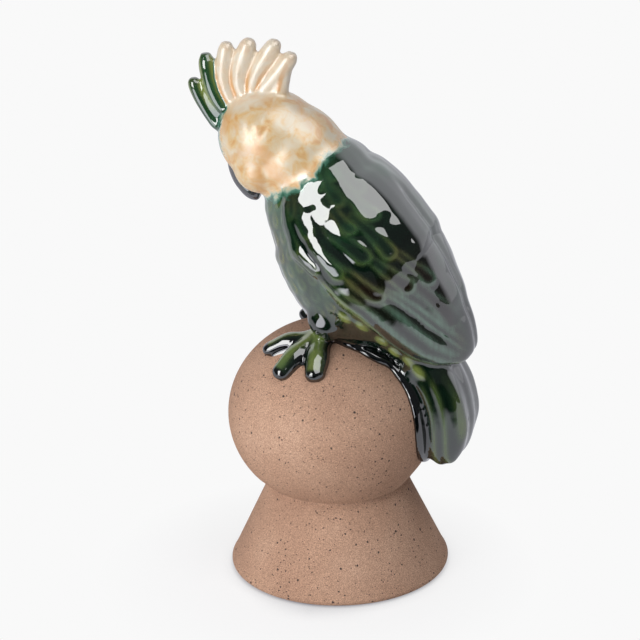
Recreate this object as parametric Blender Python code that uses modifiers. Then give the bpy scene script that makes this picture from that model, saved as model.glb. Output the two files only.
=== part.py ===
"""Parrot figurine: a crested parrot perched on a ball that stands on a flared foot.

The whole figure is one slip-cast piece of stoneware: hollow, with one wall all round, and a small
vent hole under the foot. Metres, +Z up. The origin is the centre of the foot's underside. The bird
looks along -X and its tail hangs down the +X side of the ball. Both sides are alike, but the right
foot stands a little further back.
"""

import math

import bmesh
import bpy
import numpy as np
from mathutils import Vector

MM = 0.001

# The foot, a flared cone, and the ball that it carries
FOOT_RADIUS = 0.0440
FOOT_EDGE = 0.0020
FOOT_HEIGHT = 0.0370
NECK_RADIUS = 0.0276
CREASE_FILLET = 0.0015
BALL_RADIUS = 0.0420
BALL_HALF_HEIGHT = 0.0378
BALL_FORWARD = 0.0018

# The cast wall, and the vent that the slip was poured out of
WALL = 0.0045
VENT_RADIUS = 0.00175
VENT_OFFSET = 0.0120

# The bird's depth to width, and how far its parts stand out
BIRD_WIDTH = 0.86
WING_RELIEF = 0.0020
FEATHER_LIFT = 0.0011
FEATHER_RIM = 0.0006
FEATHER_DISH = 0.0006
QUILL_WIDTH = 0.0011
QUILL_LIFT = 0.0008
BREAST_LIFT = 0.0004
BREAST_PITCH = 0.0064
BREAST_HALF_WIDTH = 0.0025
FLANK_LIFT = 0.0011
BACK_GROOVE = 0.0022
BACK_GROOVE_WIDTH = 0.0020
EYE_RADIUS = 0.0034
EYE_RELIEF = 0.0004

# The crest, the beak, the thighs and the toes
CREST_FEATHER = 0.0038
CREST_RIDGE = 0.0021
BEAK_RADIUS = 0.0043
THIGH_RADIUS = 0.0080
THIGH_SPREAD = 0.0165
TOE_RADIUS = 0.0028
TOE_HEIGHT = 0.0013

# The tail lies on the back of the ball
TAIL_HALF_WIDTH = 0.0150
TAIL_THICKNESS = 0.0162
TAIL_SIDE = 0.0069
SEAT = 0.0020
TAIL_RIDGE = 0.0012
TAIL_RIDGE_PITCH = 0.0046
TAIL_RIDGE_WIDTH = 0.0010

# Fineness of the solid's faces
TURN_STEPS = 56
CLAY_GRAIN = 0.0011
GLAZE_FLOW = 4
BIRD_FACES = 8200
HOLLOW_FACES = 1100

BALL_RISE = BALL_HALF_HEIGHT * math.sqrt(1 - (NECK_RADIUS / BALL_RADIUS) ** 2)
BALL_CENTRE = FOOT_HEIGHT + BALL_RISE
PERCH = BALL_CENTRE + BALL_HALF_HEIGHT

# The bird's lines, in millimetres: x, height above the perch, half depth
BODY_LINE = (
    (-22.0, 75.5, 18.5),
    (-14.6, 70.8, 20.4),
    (-8.6, 64.0, 20.4),
    (-3.0, 54.1, 24.6),
    (2.9, 45.8, 28.6),
    (7.0, 38.0, 30.2),
    (12.6, 28.8, 31.2),
    (20.0, 20.2, 30.5),
    (30.6, 12.2, 24.0),
    (38.8, 4.2, 18.8),
    (44.8, -3.5, 14.3),
    (47.0, -10.5, 12.0),
)
NAPE = (-10.0, 65.0)
HEAD = (-23.2, 76.6, 20.6, 17.6, 18.8)
CHEEK = (-25.5, 66.4, 6.2, 10.8)
BEAK_LINE = (
    (-34.6, 71.5, 0.95),
    (-36.3, 66.4, 1.0),
    (-35.5, 61.2, 1.0),
    (-33.0, 56.8, 1.0),
    (-29.8, 53.6, 0.93),
    (-27.4, 53.0, 0.7),
)
CREST_LINES = (
    (
        (-36.0, 78.0, 0.8), (-44.5, 80.3, 0.66), (-46.8, 82.9, 0.6), (-49.4, 87.1, 0.62),
        (-51.9, 92.4, 0.7), (-53.3, 97.0, 0.68), (-53.4, 98.6, 0.4),
    ),
    (
        (-35.0, 83.0, 0.8), (-41.8, 87.3, 0.76), (-45.3, 93.5, 0.84), (-47.0, 99.4, 0.9),
        (-48.0, 105.8, 0.85), (-48.4, 108.8, 0.5),
    ),
    (
        (-33.0, 84.0, 0.9), (-37.9, 89.9, 0.76), (-40.2, 94.8, 0.76), (-41.3, 100.0, 0.8),
        (-40.8, 106.0, 0.86), (-39.8, 111.5, 0.8), (-39.6, 113.8, 0.5),
    ),
    (
        (-30.0, 85.0, 1.0), (-33.5, 92.9, 0.8), (-34.9, 98.0, 0.86), (-34.5, 103.2, 0.95),
        (-32.4, 109.2, 1.02), (-30.7, 113.8, 0.84), (-30.2, 115.6, 0.5),
    ),
    (
        (-27.0, 85.0, 1.0), (-29.8, 95.1, 0.86), (-28.6, 99.6, 0.9), (-25.9, 105.3, 0.95),
        (-22.6, 110.6, 0.94), (-20.5, 114.0, 0.8), (-19.9, 115.7, 0.5),
    ),
    (
        (-24.0, 85.0, 1.0), (-25.6, 94.0, 0.95), (-22.9, 98.0, 0.95), (-19.5, 102.0, 0.98),
        (-16.4, 106.0, 0.95), (-14.2, 109.2, 0.8), (-13.5, 111.0, 0.5),
    ),
)
# The thin ridges in the grooves between the crest feathers, and the crest's back edge
CREST_RIDGES = (
    ((-37.0, 79.0, 1.0), (-43.5, 84.5, 1.0), (-47.2, 90.0, 1.0), (-49.6, 95.2, 0.9), (-50.3, 97.4, 0.6)),
    ((-34.0, 84.0, 1.0), (-40.5, 91.0, 1.0), (-43.4, 97.5, 1.0), (-44.2, 103.0, 0.9), (-43.9, 105.6, 0.6)),
    (
        (-32.0, 85.0, 1.0), (-35.9, 92.0, 0.9), (-37.8, 98.0, 0.85), (-37.6, 104.0, 0.85),
        (-36.3, 109.0, 0.6),
    ),
    (
        (-28.0, 85.0, 1.0), (-30.9, 94.0, 0.9), (-31.3, 99.0, 0.85), (-29.9, 104.5, 0.85),
        (-27.4, 109.2, 0.6),
    ),
    (
        (-25.0, 85.0, 1.0), (-27.4, 95.5, 0.9), (-25.6, 100.8, 0.85), (-21.9, 105.6, 0.85),
        (-17.8, 109.4, 0.6),
    ),
    ((-20.0, 86.0, 1.9), (-18.8, 95.5, 1.7), (-17.4, 101.0, 1.5), (-15.9, 105.0, 1.2), (-15.3, 107.0, 0.8)),
)
THIGH = (3.0, 8.0)

# The folded wing's mass: x, height, distance from the middle plane, radius
WING_LINE = (
    (-3.0, 52.0, 13.0, 9.5),
    (6.0, 38.5, 17.5, 9.5),
    (14.5, 27.5, 18.0, 9.2),
    (24.0, 17.5, 17.0, 8.4),
    (34.0, 7.5, 14.0, 7.6),
    (43.5, -0.5, 10.0, 6.6),
    (50.0, -4.8, 7.0, 5.0),
    (53.6, -6.0, 5.5, 3.4),
)
EYE = (-24.3, 85.5)

# The toes, in plan from the middle of the ball, in millimetres: where they start, their claws
# and how thick each toe is beside the toe radius
TOE_ROOT = (-1.0, 13.0)
TOE_TIPS = ((-22.0, 15.5, 1.1), (-14.0, 28.5, 1.4), (1.0, 30.6, 1.5))
FAR_FOOT_BACK = 6.0

# The flank that comes down behind the thigh and runs into the tail: x, height, distance out, radius
FLANK_LINE = (
    (6.0, 18.0, 13.0, 11.0),
    (14.0, 12.5, 13.5, 10.0),
    (22.0, 6.5, 11.5, 8.5),
    (29.0, 0.0, 9.8, 7.2),
    (35.0, -6.0, 9.0, 6.4),
    (39.5, -13.0, 9.0, 5.6),
    (41.5, -20.0, 9.0, 5.0),
)
# Small bright feathers down the flank: x, height, half length, half width
FLANK_FEATHERS = (
    (11.9, 13.3, 3.4, 1.8),
    (18.5, 9.6, 3.4, 1.8),
    (25.0, 2.2, 3.2, 1.8),
    (29.4, -3.0, 3.0, 1.8),
    (34.7, -6.8, 3.0, 1.8),
    (38.8, -11.4, 3.8, 1.8),
)


# The wing's lower edge: millimetres along the body from the neck, degrees round from the back
WING_EDGE = (
    (-4.0, 20.0),
    (-1.0, 76.0),
    (1.0, 98.0),
    (6.0, 119.0),
    (12.0, 128.0),
    (24.0, 130.0),
    (31.0, 122.0),
    (37.0, 117.0),
    (47.0, 114.0),
    (56.0, 111.0),
    (65.0, 112.0),
    (75.0, 114.0),
    (84.0, 112.0),
    (91.0, 96.0),
    (96.0, 60.0),
    (99.0, 15.0),
)
WING_BACK_EDGE = 9.0

# Leaf-shaped wing feathers, from the neck down: root and tip along the body, half width, place
# across the wing at root and tip, from the back edge (0) to the lower edge (1)
LEAVES = (
    (-1.0, 11.0, 2.9, 0.34, 0.33),
    (-1.0, 10.5, 2.9, 0.51, 0.50),
    (-1.0, 11.5, 2.9, 0.67, 0.67),
    (0.0, 13.0, 2.8, 0.83, 0.84),
    (6.0, 20.5, 3.3, 0.26, 0.24),
    (6.0, 19.5, 3.3, 0.43, 0.42),
    (6.0, 20.0, 3.3, 0.59, 0.58),
    (7.0, 22.0, 3.2, 0.75, 0.75),
    (8.0, 25.0, 2.9, 0.90, 0.91),
    (14.0, 31.0, 3.6, 0.34, 0.31),
    (14.0, 30.0, 3.4, 0.50, 0.49),
    (16.0, 42.0, 4.2, 0.61, 0.58),
    (18.0, 41.0, 3.0, 0.73, 0.82),
    (16.0, 35.0, 2.8, 0.89, 0.93),
    (24.0, 46.5, 3.6, 0.41, 0.42),
    (24.0, 48.0, 3.0, 0.27, 0.22),
    (34.0, 57.0, 3.8, 0.78, 0.71),
    (38.0, 61.0, 3.9, 0.57, 0.46),
    (42.0, 63.5, 3.4, 0.40, 0.26),
    (56.0, 84.0, 4.0, 0.43, 0.20),
)
# Long flight feathers: the lines of their quills, given as the leaves are
QUILLS = (
    (34.0, 95.0, 0.97, 0.90),
    (38.0, 94.0, 0.91, 0.72),
    (40.0, 94.0, 0.82, 0.55),
    (46.0, 95.0, 0.72, 0.37),
    (50.0, 96.0, 0.66, 0.19),
    (56.0, 96.0, 0.50, 0.06),
)
BREAST_ROWS = 13


def collection(name):
    """A new collection under the scene's own."""
    group = bpy.data.collections.new(name)
    bpy.context.scene.collection.children.link(group)
    return group


def colour(hexa):
    """An sRGB hex colour as linear RGBA."""
    parts = [int(hexa[i:i + 2], 16) / 255 for i in (0, 2, 4)]
    return [p / 12.92 if p <= 0.04045 else ((p + 0.055) / 1.055) ** 2.4 for p in parts] + [1.0]


def material(name, hexa, roughness):
    """A plain Principled material."""
    made = bpy.data.materials.new(name)
    made.use_nodes = True
    shader = made.node_tree.nodes["Principled BSDF"]
    shader.inputs["Base Color"].default_value = colour(hexa)
    shader.inputs["Roughness"].default_value = roughness
    shader.inputs["Metallic"].default_value = 0.0
    return made


def evaluated(thing):
    """A new mesh of an object with its modifiers applied, in world places."""
    bpy.context.view_layer.update()
    graph = bpy.context.evaluated_depsgraph_get()
    mesh = bpy.data.meshes.new_from_object(thing.evaluated_get(graph))
    mesh.transform(thing.matrix_world)
    return mesh


def place(x, height, y=0.0):
    """A point of the bird, given in millimetres from the perch, in metres."""
    return Vector((x * MM - BALL_FORWARD, y * MM, PERCH + height * MM))


def on_ball(x, y, height):
    """The point of the ball's upper surface over a place in its plan, raised by a height."""
    level = math.sqrt(1 - (x * x + y * y) / BALL_RADIUS ** 2)
    normal = Vector((x / BALL_RADIUS ** 2, y / BALL_RADIUS ** 2, level / BALL_HALF_HEIGHT)).normalized()
    return Vector((x - BALL_FORWARD, y, BALL_CENTRE + BALL_HALF_HEIGHT * level)) + normal * height


def roll(points, radii, width=1.0, sides=3, steps=5):
    """A roll of clay along a smooth line, round in section, then pressed to its width across Y."""
    curve = bpy.data.curves.new("roll", "CURVE")
    curve.dimensions = "3D"
    curve.bevel_depth = 1.0
    curve.bevel_resolution = sides
    curve.use_fill_caps = True
    spline = curve.splines.new("BEZIER")
    spline.resolution_u = steps
    spline.radius_interpolation = "CARDINAL"
    spline.bezier_points.add(len(points) - 1)
    for knot, point, radius in zip(spline.bezier_points, points, radii):
        knot.co = point
        knot.radius = radius
        knot.handle_left_type = "AUTO"
        knot.handle_right_type = "AUTO"
    thing = bpy.data.objects.new("roll", curve)
    bpy.context.scene.collection.objects.link(thing)
    mesh = evaluated(thing)
    bpy.data.objects.remove(thing)
    bm = bmesh.new()
    bm.from_mesh(mesh)
    bmesh.ops.remove_doubles(bm, verts=bm.verts, dist=0.00002)
    middle = sum((p.y for p in points), 0.0) / len(points)
    for vert in bm.verts:
        vert.co.y = middle + (vert.co.y - middle) * width
    bm.to_mesh(mesh)
    bm.free()
    return mesh


def ball(centre, radii):
    """A ball of clay with its three half sizes."""
    bm = bmesh.new()
    bmesh.ops.create_uvsphere(bm, u_segments=32, v_segments=20, radius=1.0)
    for vert in bm.verts:
        vert.co = Vector(centre) + Vector([c * r for c, r in zip(vert.co, radii)])
    mesh = bpy.data.meshes.new("ball")
    bm.to_mesh(mesh)
    bm.free()
    return mesh


def merge(meshes):
    """Several meshes as one, still overlapping."""
    bm = bmesh.new()
    for mesh in meshes:
        bm.from_mesh(mesh)
    made = bpy.data.meshes.new("clay")
    bm.to_mesh(made)
    bm.free()
    return made


def knead(mesh, grain, smoothing):
    """Overlapping clay shapes worked into one skin, and smoothed."""
    thing = bpy.data.objects.new("clay", mesh)
    bpy.context.scene.collection.objects.link(thing)
    skin = thing.modifiers.new("skin", "REMESH")
    skin.mode = "VOXEL"
    skin.voxel_size = grain
    soften = thing.modifiers.new("soften", "SMOOTH")
    soften.factor = 0.5
    soften.iterations = smoothing
    made = evaluated(thing)
    bpy.data.objects.remove(thing)
    return made


def body_shapes(wall):
    """The head, neck and body, drawn in by a wall thickness."""
    points = [place(x, height) for x, height, radius in BODY_LINE]
    radii = [radius * MM - wall for x, height, radius in BODY_LINE]
    width = (radii[5] + wall) * BIRD_WIDTH - wall
    return [
        roll(points, radii, width / radii[5], sides=6, steps=6),
        ball(place(HEAD[0], HEAD[1]), [size * MM - wall for size in HEAD[2:]]),
    ]


def side_shapes(side):
    """A cheek, a wing's mass, a flank and a thigh, on one side."""
    cheek = CHEEK[3] * MM
    thigh = place(THIGH[0], THIGH[1], side * THIGH_SPREAD / MM)
    points = [place(x, height, side * out) for x, height, out, radius in WING_LINE]
    flank = [place(x, height, side * out) for x, height, out, radius in FLANK_LINE]
    return [
        ball(place(CHEEK[0], CHEEK[1], side * CHEEK[2]), (cheek, cheek, cheek)),
        roll(points, [radius * MM for x, height, out, radius in WING_LINE], sides=5),
        roll(flank, [radius * MM for x, height, out, radius in FLANK_LINE], sides=5),
        ball(thigh, (THIGH_RADIUS, THIGH_RADIUS * 0.8, THIGH_RADIUS)),
    ]


def tail_shapes():
    """Rolls side by side down the back of the ball: a thick one between two flat-sided stacks."""
    half = TAIL_THICKNESS / 2
    lines = [(0.0, half - SEAT / 2, half + SEAT / 2)]
    for across in (-1.0, 1.0):
        for centre in (0.35 * TAIL_SIDE, 0.65 * TAIL_SIDE, TAIL_THICKNESS - 1.1 * TAIL_SIDE):
            lines.append((across, centre, TAIL_SIDE))
    shapes = []
    for across, centre, radius in lines:
        points = []
        radii = []
        for step, angle in enumerate((42.0, 26.0, 10.0, -3.0, -12.0, -18.0)):
            a = math.radians(angle)
            thin = (1.0, 1.0, 1.0, 0.97, 0.82, 0.5)[step]
            x = (BALL_RADIUS + centre * thin) * math.cos(a) - BALL_FORWARD
            z = BALL_CENTRE + (BALL_HALF_HEIGHT + centre * thin) * math.sin(a)
            points.append(Vector((x, across * (TAIL_HALF_WIDTH - TAIL_SIDE), z)))
            radii.append(radius * thin)
        shapes.append(roll(points, radii, 1.15 if across == 0.0 else 1.0, sides=4, steps=5))
    return shapes


def crest_shapes():
    """The fan of crest feathers in the bird's middle plane, and the ridges between them."""
    shapes = []
    for lines, thick in ((CREST_LINES, CREST_FEATHER), (CREST_RIDGES, CREST_RIDGE)):
        for line in lines:
            points = [place(x, height) for x, height, share in line]
            shapes.append(roll(points, [thick * share for x, height, share in line]))
    return shapes


def beak_shape():
    """The hooked beak, half hidden between the cheeks."""
    points = [place(x, height) for x, height, share in BEAK_LINE]
    return roll(points, [BEAK_RADIUS * share for x, height, share in BEAK_LINE], 1.0, sides=3)


def toe_shapes(side):
    """The three front toes of one foot, laid on the ball."""
    shapes = []
    for tip in TOE_TIPS:
        points = []
        radii = []
        for share, size in ((0.0, 1.3), (0.3, 1.0), (0.55, 1.15), (0.8, 1.0), (0.96, 0.9), (1.02, 0.5)):
            x = TOE_ROOT[0] + (tip[0] - TOE_ROOT[0]) * share + (FAR_FOOT_BACK if side > 0 else 0.0)
            out = TOE_ROOT[1] + (tip[1] - TOE_ROOT[1]) * share
            rise = TOE_HEIGHT - 0.7 * TOE_RADIUS * (tip[2] - 1.0)
            points.append(on_ball(x * MM, side * out * MM, rise * size))
            radii.append(TOE_RADIUS * tip[2] * size)
        shapes.append(roll(points, radii, 1.0, sides=3, steps=4))
    return shapes


def smoothstep(low, high, value):
    """0 below low, 1 above high, with a soft rise between."""
    t = np.clip((value - low) / (high - low), 0.0, 1.0)
    return t * t * (3 - 2 * t)


def body_chart(places):
    """Along the body, round it from the back, and the section's radius there, for points in mm."""
    start = np.array(NAPE)
    end = np.array((BODY_LINE[-1][0], BODY_LINE[-1][1]))
    axis = (end - start) / np.linalg.norm(end - start)
    back = np.array((-axis[1], axis[0]))
    flat = places[:, (0, 2)] - start
    along = flat @ axis
    out = flat @ back
    turn = np.degrees(np.arctan2(np.abs(places[:, 1]), out))
    stations = [(np.array(p[:2]) - start) @ axis for p in BODY_LINE[2:]]
    radius = np.interp(along, stations, [p[2] * 0.93 for p in BODY_LINE[2:]])
    return along, turn, radius


def feather(height, along, across, root, tip, half, lift):
    """Lays one leaf-shaped feather over a height field: proud at its tip, rimmed, dished inside."""
    share = np.clip((along - root) / (tip - half - root), 0.0, 1.0)
    off_end = along - np.clip(along, root, tip - half)
    inside = half * (0.55 + 0.45 * share) - np.hypot(off_end, across)
    edge = np.exp(-((inside - 0.8) / 0.75) ** 2) * FEATHER_RIM / FEATHER_LIFT
    dish = smoothstep(0.9, 2.6, inside) * FEATHER_DISH / FEATHER_LIFT
    leaf = smoothstep(-0.2, 0.8, inside) * (0.25 + 0.75 * share) + (edge - dish) * share
    return np.where(inside > 0.0, lift * leaf, height)


def across_wing(line, along, share, span):
    """How far each point is from a line over the wing, in millimetres, measured across it."""
    root, tip, start, end = line
    run = np.clip((along - root) / (tip - root), 0.0, 1.0)
    return (share - (start + (end - start) * run)) * span


def wing_relief(along, turn, radius):
    """The folded wing: a raised field with rows of leaf-shaped feathers and long quills."""
    edges = np.array(WING_EDGE)
    edge = np.interp(along, edges[:, 0], edges[:, 1])
    span = np.radians(edge - WING_BACK_EDGE) * radius
    across = np.radians(turn - WING_BACK_EDGE) * radius
    inset = np.minimum(span - across, across)
    field = smoothstep(0.0, 2.2, inset) * smoothstep(-3.0, 8.0, along)
    share = across / np.maximum(span, 1.0)
    height = np.zeros_like(along)
    for line in QUILLS:
        off = across_wing(line, along, share, span)
        ends = smoothstep(line[0], line[0] + 8.0, along) * smoothstep(line[1] + 2.0, line[1] - 4.0, along)
        height = np.maximum(height, np.exp(-(off * MM / QUILL_WIDTH) ** 2) * ends * QUILL_LIFT / MM)
    for root, tip, half, start, end in reversed(LEAVES):
        off = across_wing((root, tip, start, end), along, share, span)
        height = feather(height, along, off, root, tip, half, FEATHER_LIFT / MM)
    low = 0.35 + 0.65 * smoothstep(8.0, 24.0, along)
    return field * (WING_RELIEF / MM + low * height), field


def breast_relief(along, turn, radius, field):
    """Rows of small round scales over the breast and belly."""
    height = np.zeros_like(along)
    across = np.radians(180.0 - turn) * radius
    pitch = BREAST_PITCH / MM
    for row in reversed(range(BREAST_ROWS)):
        tip = 6.0 + row * pitch
        for column in range(11):
            middle = (column + 0.5 * (row % 2)) * pitch
            height = feather(height, along, across - middle, tip - 6.0, tip, BREAST_HALF_WIDTH / MM,
                             BREAST_LIFT / MM)
    return (1.0 - field) * height * smoothstep(60.0, 80.0, turn)


def flank_relief(places):
    """Small leaf-shaped feathers in a row down the flank."""
    best = np.zeros(len(places))
    for x, height, length, width in FLANK_FEATHERS:
        run = (places[:, 0] - x) * 0.62 - (places[:, 2] - height) * 0.78
        off = (places[:, 0] - x) * 0.78 + (places[:, 2] - height) * 0.62
        best = np.maximum(best, smoothstep(1.15, 0.55, np.hypot(run / length, off / width)))
    return best * smoothstep(6.0, 9.0, np.abs(places[:, 1])) * FLANK_LIFT / MM


def tail_relief(places):
    """Long barbs down the tail's sides and back."""
    middle = (BALL_CENTRE - PERCH) / MM
    reach = np.hypot(places[:, 0], places[:, 2] - middle) - BALL_RADIUS / MM
    level = np.degrees(np.arctan2(places[:, 2] - middle, places[:, 0]))
    inside = smoothstep(34.0, 24.0, level) * smoothstep(1.0, 3.0, reach)
    inside = inside * smoothstep(20.0, 30.0, places[:, 0]) * smoothstep(-34.0, -28.0, level)
    side = np.maximum(reach, 0.0) + 0.8 * np.abs(places[:, 1])
    off = (side * MM / TAIL_RIDGE_PITCH + 0.35) % 1.0 - 0.5
    return inside * np.exp(-(off * TAIL_RIDGE_PITCH / TAIL_RIDGE_WIDTH) ** 2) * TAIL_RIDGE / MM


def eye_relief(places):
    """A low dome in a shallow ring on each side of the head."""
    off = np.hypot(places[:, 0] - EYE[0], places[:, 2] - EYE[1]) * MM / EYE_RADIUS
    dome = np.sqrt(np.clip(1.0 - off ** 2, 0.0, 1.0))
    ring = np.exp(-((off - 1.15) / 0.18) ** 2)
    side = smoothstep(8.0, 11.0, np.abs(places[:, 1]))
    return (dome - 0.5 * ring) * side * EYE_RELIEF / MM


def softened(values, mesh, rounds):
    """A number a vertex, averaged with its neighbours again and again, as thick glaze levels out."""
    ends = np.empty(len(mesh.edges) * 2, dtype=np.int32)
    mesh.edges.foreach_get("vertices", ends)
    degree = np.bincount(ends, minlength=len(values)).astype(float)
    first, second = ends.reshape(-1, 2).T
    for turn in range(rounds):
        total = np.bincount(first, values[second], len(values))
        total += np.bincount(second, values[first], len(values))
        values = 0.5 * values + 0.5 * total / degree
    return values


def read(mesh, what):
    """Vertex places or normals as rows."""
    flat = np.empty(len(mesh.vertices) * 3, dtype=np.float32)
    mesh.vertices.foreach_get(what, flat)
    return flat.reshape(-1, 3).astype(float)


def carve(mesh):
    """Moves the bird's skin out along its normals by the relief of its feathers."""
    metres = read(mesh, "co")
    normals = read(mesh, "normal")
    places = (metres - np.array((-BALL_FORWARD, 0.0, PERCH))) / MM
    along, turn, radius = body_chart(places)
    reach = np.linalg.norm(places - np.array((-22.0, 0.0, 73.6)), axis=1)
    on_body = smoothstep(21.0, 27.0, reach) * smoothstep(100.0, 95.0, along)
    wing, field = wing_relief(along, turn, radius)
    height = on_body * (wing + breast_relief(along, turn, radius, field))
    groove = np.exp(-(places[:, 1] * MM / BACK_GROOVE_WIDTH) ** 2) * smoothstep(18.0, 34.0, along)
    height = height - on_body * groove * smoothstep(90.0, 60.0, turn) * BACK_GROOVE / MM
    height = height + tail_relief(places) + flank_relief(places) * (1.0 - field)
    height = softened(height, mesh, GLAZE_FLOW) + eye_relief(places)
    moved = metres + normals * height[:, None] * MM
    mesh.vertices.foreach_set("co", moved.ravel())
    mesh.update()


def thin_out(mesh, faces):
    """A mesh brought down to a number of triangles, finest where the form turns most."""
    mesh.calc_loop_triangles()
    thing = bpy.data.objects.new("clay", mesh)
    bpy.context.scene.collection.objects.link(thing)
    fewer = thing.modifiers.new("fewer", "DECIMATE")
    fewer.decimate_type = "COLLAPSE"
    fewer.ratio = faces / len(mesh.loop_triangles)
    made = evaluated(thing)
    bpy.data.objects.remove(thing)
    return largest_piece(made)


def largest_piece(mesh):
    """Drops the stray slivers that thinning out can leave beside the main skin."""
    bm = bmesh.new()
    bm.from_mesh(mesh)
    left = set(bm.verts)
    islands = []
    while left:
        front = [left.pop()]
        island = list(front)
        while front:
            near = {edge.other_vert(vert) for vert in front for edge in vert.link_edges} & left
            left -= near
            front = list(near)
            island += front
        islands.append(island)
    islands.sort(key=len)
    for island in islands[:-1]:
        bmesh.ops.delete(bm, geom=island, context="VERTS")
    bm.to_mesh(mesh)
    bm.free()
    return mesh


def bird_mesh():
    """The bird: main masses first, then the thinner parts, then the feathers' relief."""
    masses = body_shapes(0.0) + tail_shapes()
    for side in (-1.0, 1.0):
        masses = masses + side_shapes(side)
    clay = knead(merge(masses), CLAY_GRAIN, 14)
    parts = [clay, beak_shape()] + crest_shapes()
    for side in (-1.0, 1.0):
        parts = parts + toe_shapes(side)
    clay = knead(merge(parts), CLAY_GRAIN, 2)
    carve(clay)
    return thin_out(clay, BIRD_FACES)


def base_profile():
    """Outer line of the turned base, from the top of the ball to the middle of the underside."""
    points = []
    crease = math.asin(BALL_RISE / BALL_HALF_HEIGHT)
    for step in range(15):
        a = math.pi / 2 - (math.pi / 2 + crease) * step / 15
        points.append((BALL_RADIUS * math.cos(a), BALL_CENTRE + BALL_HALF_HEIGHT * math.sin(a)))
    lean = (FOOT_RADIUS - NECK_RADIUS) / (FOOT_HEIGHT - FOOT_EDGE)
    points.append((NECK_RADIUS + CREASE_FILLET * 0.45, FOOT_HEIGHT + CREASE_FILLET))
    points.append((NECK_RADIUS + CREASE_FILLET * 0.20, FOOT_HEIGHT))
    points.append((NECK_RADIUS + CREASE_FILLET * (0.35 + lean), FOOT_HEIGHT - CREASE_FILLET))
    for step in range(4):
        a = math.radians(25 - 115 * step / 3)
        points.append((FOOT_RADIUS - FOOT_EDGE * (1 - math.cos(a)), FOOT_EDGE * (1 + math.sin(a))))
    points.append((0.0, 0.0))
    points[0] = (0.0, PERCH)
    return points


def turned(name, points, steps, group):
    """A closed solid turned about the Z axis from its outer line."""
    mesh = bpy.data.meshes.new(name)
    verts = [(r, 0.0, z) for r, z in points]
    mesh.from_pydata(verts, [(i, i + 1) for i in range(len(verts) - 1)], [])
    thing = bpy.data.objects.new(name, mesh)
    group.objects.link(thing)
    spin = thing.modifiers.new("turn", "SCREW")
    spin.steps = steps
    spin.render_steps = steps
    spin.use_merge_vertices = True
    spin.merge_threshold = 0.00005
    return thing


def slide_forward(mesh):
    """The ball sits a little forward of the foot: the rings above the crease are slid towards -X."""
    for vert in mesh.vertices:
        rise = (vert.co.z - FOOT_HEIGHT + 0.004) / 0.010
        vert.co.x -= BALL_FORWARD * min(max(rise, 0.0), 1.0)
    return mesh


def hollow_mesh():
    """The space inside the cast wall: foot, ball, body and head in one."""
    lean = (FOOT_RADIUS - NECK_RADIUS) / (FOOT_HEIGHT - FOOT_EDGE)
    slant = WALL * math.hypot(1.0, lean)
    low = FOOT_RADIUS - lean * WALL - slant
    high = NECK_RADIUS - slant
    top = FOOT_HEIGHT + 0.006
    inner = [(0.0, top), (high, top), (high, FOOT_HEIGHT), (low, WALL), (0.0, WALL)]
    cone = turned("foot_hollow", inner, 40, bpy.context.scene.collection)
    foot = evaluated(cone)
    bpy.data.objects.remove(cone)
    inside = (BALL_RADIUS - WALL, BALL_RADIUS - WALL, BALL_HALF_HEIGHT - WALL)
    shapes = body_shapes(WALL) + [foot, ball((-BALL_FORWARD, 0.0, BALL_CENTRE), inside)]
    return thin_out(knead(merge(shapes), 2 * CLAY_GRAIN, 3), HOLLOW_FACES)


def cut(thing, name, cutter, operation):
    """One exact Boolean step on an object."""
    step = thing.modifiers.new(name, "BOOLEAN")
    step.operation = operation
    step.solver = "EXACT"
    step.object = cutter


def cutter_from(name, mesh, group):
    """An object that only shapes another."""
    thing = bpy.data.objects.new(name, mesh)
    thing.hide_render = True
    thing.display_type = "WIRE"
    group.objects.link(thing)
    return thing


def vent_mesh():
    """The round hole through the foot's underside."""
    bm = bmesh.new()
    bmesh.ops.create_cone(bm, cap_ends=True, segments=16, radius1=VENT_RADIUS, radius2=VENT_RADIUS,
                          depth=3 * WALL)
    bmesh.ops.translate(bm, verts=bm.verts, vec=(VENT_OFFSET, 0.0, 0.0))
    mesh = bpy.data.meshes.new("vent")
    bm.to_mesh(mesh)
    bm.free()
    return mesh


def build():
    """The figurine as one solid."""
    for thing in list(bpy.data.objects):
        bpy.data.objects.remove(thing)
    figurine = collection("parrot_figurine_parts")
    tools = collection("cutters")
    stoneware = material("speckled stoneware", "B58E74", 0.75)
    glaze = material("green glaze", "1F4A33", 0.12)
    bird = bird_mesh()
    bird.materials.clear()
    bird.materials.append(glaze)
    bird.shade_smooth()
    wheel = turned("base", base_profile(), TURN_STEPS, figurine)
    body = bpy.data.objects.new("parrot_figurine", slide_forward(evaluated(wheel)))
    bpy.data.objects.remove(wheel)
    figurine.objects.link(body)
    body.data.materials.append(stoneware)
    body.data.shade_smooth()
    body.data.set_sharp_from_angle(angle=math.radians(40))
    cut(body, "bird", cutter_from("bird", bird, tools), "UNION")
    cut(body, "hollow", cutter_from("hollow", hollow_mesh(), tools), "DIFFERENCE")
    cut(body, "vent", cutter_from("vent", vent_mesh(), tools), "DIFFERENCE")


build()
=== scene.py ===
"""Looks of the glazed parrot figurine: the bird in reactive glaze, the ball and foot in bare clay.

Metres, +Z up. The bird looks along -X. Its lines are written in millimetres from the perch, the top
of the ball. They are the lines that the solid was made from, taken to a finer skin and a fuller back.
"""

import math

import bmesh
import bpy
import numpy as np
from mathutils import Matrix, Vector


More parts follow.
